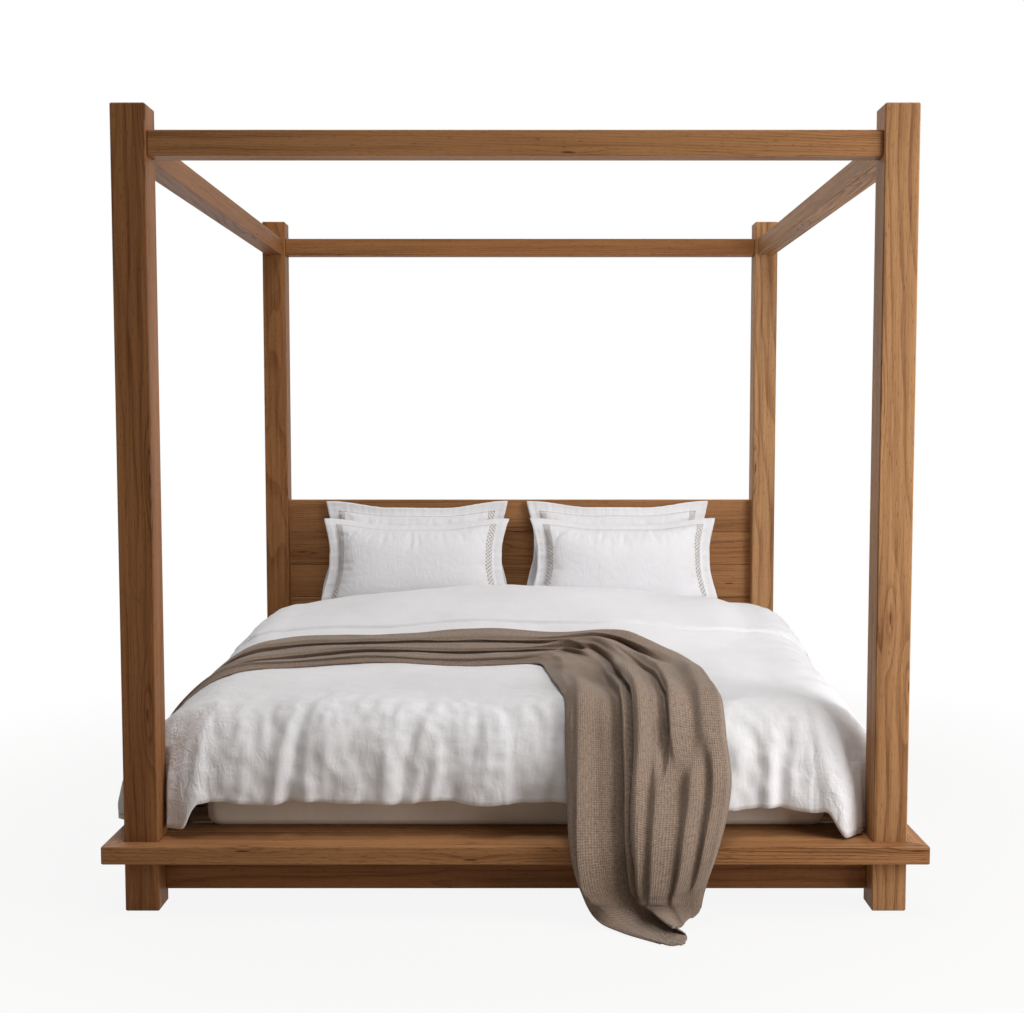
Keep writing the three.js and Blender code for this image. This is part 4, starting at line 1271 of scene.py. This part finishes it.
# %% The throw's pleats, as heights at shares of its width
band_pleats = {0.0: 0.0, 0.05: 0.5, 0.14: 1.0, 0.27: 0.7, 0.33: 0.05, 0.40: 0.75, 0.49: 1.0, 0.60: 0.65,
               0.66: 0.05, 0.73: 0.75, 0.83: 1.0, 0.95: 0.6, 1.0: 0.1}
turn_pleats = {0.0: 0.15, 0.08: 0.5, 0.20: 0.3, 0.32: 0.45, 0.42: 0.1, 0.50: 0.7, 0.60: 1.0, 0.70: 0.6,
               0.76: 0.2, 0.82: 0.75, 0.92: 0.9, 1.0: 0.15}
tail_pleats = {0.0: 0.1, 0.04: 0.45, 0.13: 0.6, 0.22: 0.3, 0.31: 0.02, 0.38: 0.55, 0.415: 0.1, 0.435: 0.0,
               0.455: 0.65, 0.50: 0.95, 0.56: 0.7, 0.61: 0.12, 0.635: 0.55, 0.69: 0.9, 0.78: 0.4, 0.88: 0.6,
               0.96: 0.45, 1.0: 0.1}
drop_pleats = {0.0: 0.1, 0.04: 0.5, 0.12: 0.75, 0.22: 0.4, 0.31: 0.02, 0.385: 0.6, 0.415: 0.1, 0.435: 0.0,
               0.455: 0.7, 0.49: 0.9, 0.53: 0.75, 0.60: 1.0, 0.70: 0.5, 0.78: 0.78, 0.86: 0.36, 0.91: 0.62,
               0.96: 0.45, 1.0: 0.15}
hem_pleats = {0.0: 0.0, 0.05: 0.12, 0.2: 0.02, 0.34: 0.06, 0.42: 0.0, 0.47: 0.85, 0.56: 1.0, 0.68: 0.85,
              0.80: 0.95, 0.90: 0.7, 1.0: 0.3}
pleat_rows = [
    # which of the edges' corners, pleats, depth, lean
    (0, band_pleats, 0.018, 0.045),
    (5.5, band_pleats, 0.02, 0.05),
    (7.8, turn_pleats, 0.05, 0.06),
    (10, tail_pleats, 0.064, 0.055),
    (12, tail_pleats, 0.074, 0.06),
    (13.2, drop_pleats, 0.084, 0.07),
    (14.3, drop_pleats, 0.078, 0.08),
    (15.6, hem_pleats, 0.036, 0.07),
    (17, hem_pleats, 0.024, 0.05),
]
main_fold = 0.445
main_fold_lean = 0.9
turn_corner = 7.8
turn_crowding = 0.5
pleat_sway_from = 0.4
tangle_corner = 7.3
tangle_height = 0.3
uneven_depth = 0.004
rumple_depth = 0.007
hem_ends = {0.0: -0.015, 0.1: -0.004, 0.28: -0.008, 0.38: -0.02, 0.42: -0.045, 0.47: -0.08, 0.56: -0.055,
            0.66: -0.08, 0.76: -0.095, 0.88: -0.145, 1.0: -0.2}


def between_places(share, table):
    """The level at a share of the width, from the levels at named places."""
    places = np.array(list(table))
    levels = np.array(list(table.values()))
    after = np.clip(np.searchsorted(places, share, side="right"), 1, len(places) - 1)
    part = (share - places[after - 1]) / (places[after] - places[after - 1])
    return levels[after - 1] + (levels[after] - levels[after - 1]) * smooth(0, 1, part)


def pleats_at(share, corner):
    """The height of the pleats from 0 to 1, their depth and their lean, blended between the rows."""
    raised, depth, lean = (np.zeros_like(share) for _ in range(3))
    starts = [row[0] for row in pleat_rows]
    for index, (start, table, row_depth, row_lean) in enumerate(pleat_rows):
        weight = np.ones_like(share)
        if index:
            weight = smooth(starts[index - 1], start, corner)
        if index + 1 < len(starts):
            weight = weight * (1 - smooth(start, starts[index + 1], corner))
        raised += weight * between_places(share, table)
        depth += weight * row_depth
        lean += weight * row_lean
    return raised, depth, lean


def throw_cloth():
    """The throw's lower face, laid over the duvet and down to the floor."""
    piece = sheet_grid("throw_cloth", throw_columns, throw_rows)
    flat = points_of(piece.data)
    share = (flat[:, 0] + 1) / 2
    along = (flat[:, 1] + 1) / 2 * throw_length
    corner = np.interp(along, edge_runs, np.arange(len(edge_runs)) / curve_steps)
    near_x, near_y, far_x, far_y = [np.interp(along, edge_runs, edges[:, k]) for k in range(4)]
    cloth = on_cloth(share * throw_width, along)
    wander = 0.022 * np.sin(along * 3.1 + 5 * share) + 0.012 * np.sin(along * 7.3 + 1)
    moved = np.clip(share + wander * np.sin(pi * share), 0, 1)
    moved = moved ** (1 + turn_crowding * hill(corner, turn_corner, 0.9))
    raised, depth, lean = pleats_at(moved, corner)
    folded_over = hill(share, main_fold, 0.04) * smooth(8, 10.5, corner) * (1 - smooth(14.5, 16, corner))
    lean *= 1 + main_fold_lean * folded_over
    raised = raised * (1 + 0.25 * ripple(on_cloth(share * 2, along), (1, 0.3, 1), 4))
    tangled = np.maximum(1 - 3 * np.abs(ripple(cloth, (0.09, 0.2, 1), 12)), 0)
    raised = raised + tangle_height * tangled * hill(corner, tangle_corner, 1.3) * np.sin(pi * share)
    sway = -lean * (raised - pleat_sway_from) * smooth(0, 0.12, share) * smooth(1, 0.88, share)
    swayed = share + sway / np.hypot(far_x - near_x, far_y - near_y)
    across = near_x + (far_x - near_x) * swayed
    end = between_places(share, hem_ends) * smooth(11.0, 17.0, corner)
    ahead = near_y + (far_y - near_y) * swayed + end
    uneven = ripple(cloth, (0.11, 0.24, 1), 8)
    rumpled = ripple(on_cloth(share * throw_width + 0.1 * along, along), (0.05, 0.13, 1), 14)
    rumpled = rumpled * (0.4 + 0.6 * smooth(7, 9, corner)) * (1 - 0.6 * smooth(14, 16, corner))
    height = throw_base + depth * raised + uneven_depth * uneven + rumple_depth * rumpled
    put(piece, on_bed(across, ahead, height))
    return piece


search_distance = 0.06
throw_gap = 0.005


def rest_on(piece, carrier, gap):
    """Lifts the points of a piece that lie nearer to the carrier's skin than `gap`, or under it."""
    skin = BVHTree.FromObject(carrier, bpy.context.evaluated_depsgraph_get())
    points = points_of(piece.data)
    lifted = 0
    for index, point in enumerate(points):
        place, normal, _, distance = skin.find_nearest(Vector(point), search_distance)
        if place is None:
            continue
        height = (Vector(point) - place).dot(normal)
        if height < gap:
            points[index] += np.array(normal) * (gap - height)
            lifted += 1
    put(piece, points)
    print(piece.name, lifted, "points lifted clear of", carrier.name)


def clear_of_ledge(points):
    """Moves the throw's points up off the ledge, out of its front edge and up off the floor."""
    outside = ledge_edge - ledge_gap
    over = (points[:, 1] > outside) & (points[:, 1] < shoulder_y)
    points[over, 2] = np.maximum(points[over, 2], ledge_top + ledge_gap)
    beside = (points[:, 2] < ledge_top) & (points[:, 1] > outside)
    points[beside, 1] = outside
    points[:, 2] = np.maximum(points[:, 2], floor_gap)
    return points


throw = throw_cloth()
rest_on(throw, duvet, throw_gap)
put(throw, clear_of_ledge(points_of(throw.data)))
finished(throw, ("SOLIDIFY", {"thickness": throw_thickness, "offset": 1, "use_rim": True}))

# %% Waffle finish
waffle_pitch = 0.0062
waffle_light = (0.345, 0.248, 0.182)
waffle_dark = (0.15, 0.102, 0.071)


def waffle_finish():
    finish = Finish("throw_waffle")
    flat, u, v = flat_cloth(finish, throw_width, throw_length)
    wander = finish.cloud(finish.stretched(flat, (26, 26, 1)), detail=3.0, roughness=0.65) * 0.005
    rows = abs(((u + wander) * (pi / waffle_pitch)).sine())
    columns = abs(((v + wander) * (pi / waffle_pitch)).sine())
    # the weave's pockets: recessed by the bump, and painted darker as painted shade
    pocket_and_painted_shade = (rows * columns).between(0.1, 0.8)
    yarns = finish.cloud(finish.stretched(flat, (700, 90, 1)), scale=0.5, detail=2.0)
    slow = finish.cloud(finish.stretched(flat, (5, 3, 1)), detail=3.0)
    heather = finish.cloud(finish.stretched(flat, (160, 110, 1)), detail=3.0)
    # the pockets add painted shade; yarns, heather and slow changes are the cloth's own colour
    darkness = pocket_and_painted_shade * 0.13 + yarns * 0.42 + (heather - 0.5) * 1.2 + (slow - 0.5) * 0.5 + 0.13
    colour = finish.mixed(darkness.between(0.0, 1.0), waffle_light, waffle_dark)
    yarn_bump = finish.bump(yarns, 0.0008, 0.5)
    finish.set(Base_Color=colour, Roughness=0.9 + yarns * 0.08, Sheen_Weight=0.2,
               Normal=finish.bump(1 - pocket_and_painted_shade, 0.0022, 0.8, yarn_bump))
    return finish.material


wear(throw, waffle_finish())
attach(throw, bed)
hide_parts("throw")
print("throw", len(throw.data.polygons), "faces")

# %% [markdown]
# ## Screws
# The steel fittings are held by pan-head wood screws. Only their heads show. Each is a short cone whose
# upper face is inset twice: the first inset is raised to a low crown, and the second is pushed in as the
# recess.

# %% Screw heads
head_radius = 0.0062
head_height = 0.0026
head_taper = 0.8
crown_inset = 0.35
crown_rise = 0.25
recess_inset = 0.12
recess = 0.0011
sheet_steel = 0.003
hanger_inset = 0.013


def screw_head(shape, place, out):
    """A pan head at a place, looking along `out`."""
    place, out = Vector(place), Vector(out)
    turn = Vector((0, 0, 1)).rotation_difference(out).to_matrix().to_4x4()
    middle = Matrix.Translation(place) @ turn @ Matrix.Translation((0, 0, head_height / 2))
    made = bmesh.ops.create_cone(shape, cap_ends=True, segments=20, radius1=head_radius,
                                 radius2=head_radius * head_taper, depth=head_height, matrix=middle)
    caps = [f for f in {f for v in made["verts"] for f in v.link_faces} if len(f.verts) > 4]
    top = max(caps, key=lambda face: (face.calc_center_median() - place).dot(out))
    for inset, rise in ((crown_inset, head_height * crown_rise), (recess_inset, -recess)):
        bmesh.ops.inset_region(shape, faces=[top], thickness=head_radius * inset)
        bmesh.ops.translate(shape, verts=list(top.verts), vec=out * rise)


def hanger_screws():
    """Two rows of two heads on each hanger's flange."""
    places = []
    for name in ("beam_hanger_front", "beam_hanger_back"):
        low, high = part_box(name)
        facing = 1 if low.y < 0 else -1
        face = (low.y if low.y < 0 else high.y) + facing * sheet_steel
        middle, level = (low.z + high.z) / 2, (high.z - low.z) / 4
        for side in (-1, 1):
            x = side * (high.x - hanger_inset)
            places += [((x, face, middle + up * level), (0, facing, 0)) for up in (-1, 1)]
    return places


def bracket_screws():
    """Two heads on each leg of each corner bracket."""
    places = []
    for name in (n for n in nodes if n.startswith("corner_bracket_")):
        low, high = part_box(name)
        facing_x = 1 if low.x < 0 else -1
        facing_y = 1 if low.y < 0 else -1
        corner_x = low.x if facing_x > 0 else high.x
        corner_y = low.y if facing_y > 0 else high.y
        leg = high.x - low.x
        middle = (low.z + high.z) / 2
        for index in (1, 2):
            run = index * leg / 3 + sheet_steel
            on_x = (corner_x + facing_x * run, corner_y + facing_y * sheet_steel, middle)
            on_y = (corner_x + facing_x * sheet_steel, corner_y + facing_y * run, middle)
            places += [(on_x, (0, facing_y, 0)), (on_y, (facing_x, 0, 0))]
    return places


screws = bmesh.new()
screw_places = hanger_screws() + bracket_screws()
for place, out in screw_places:
    screw_head(screws, place, out)
screw_heads = linked("screw_heads", screws)
wear(screw_heads, zinc)
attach(screw_heads, bed)
print(len(screw_places), "screw heads")
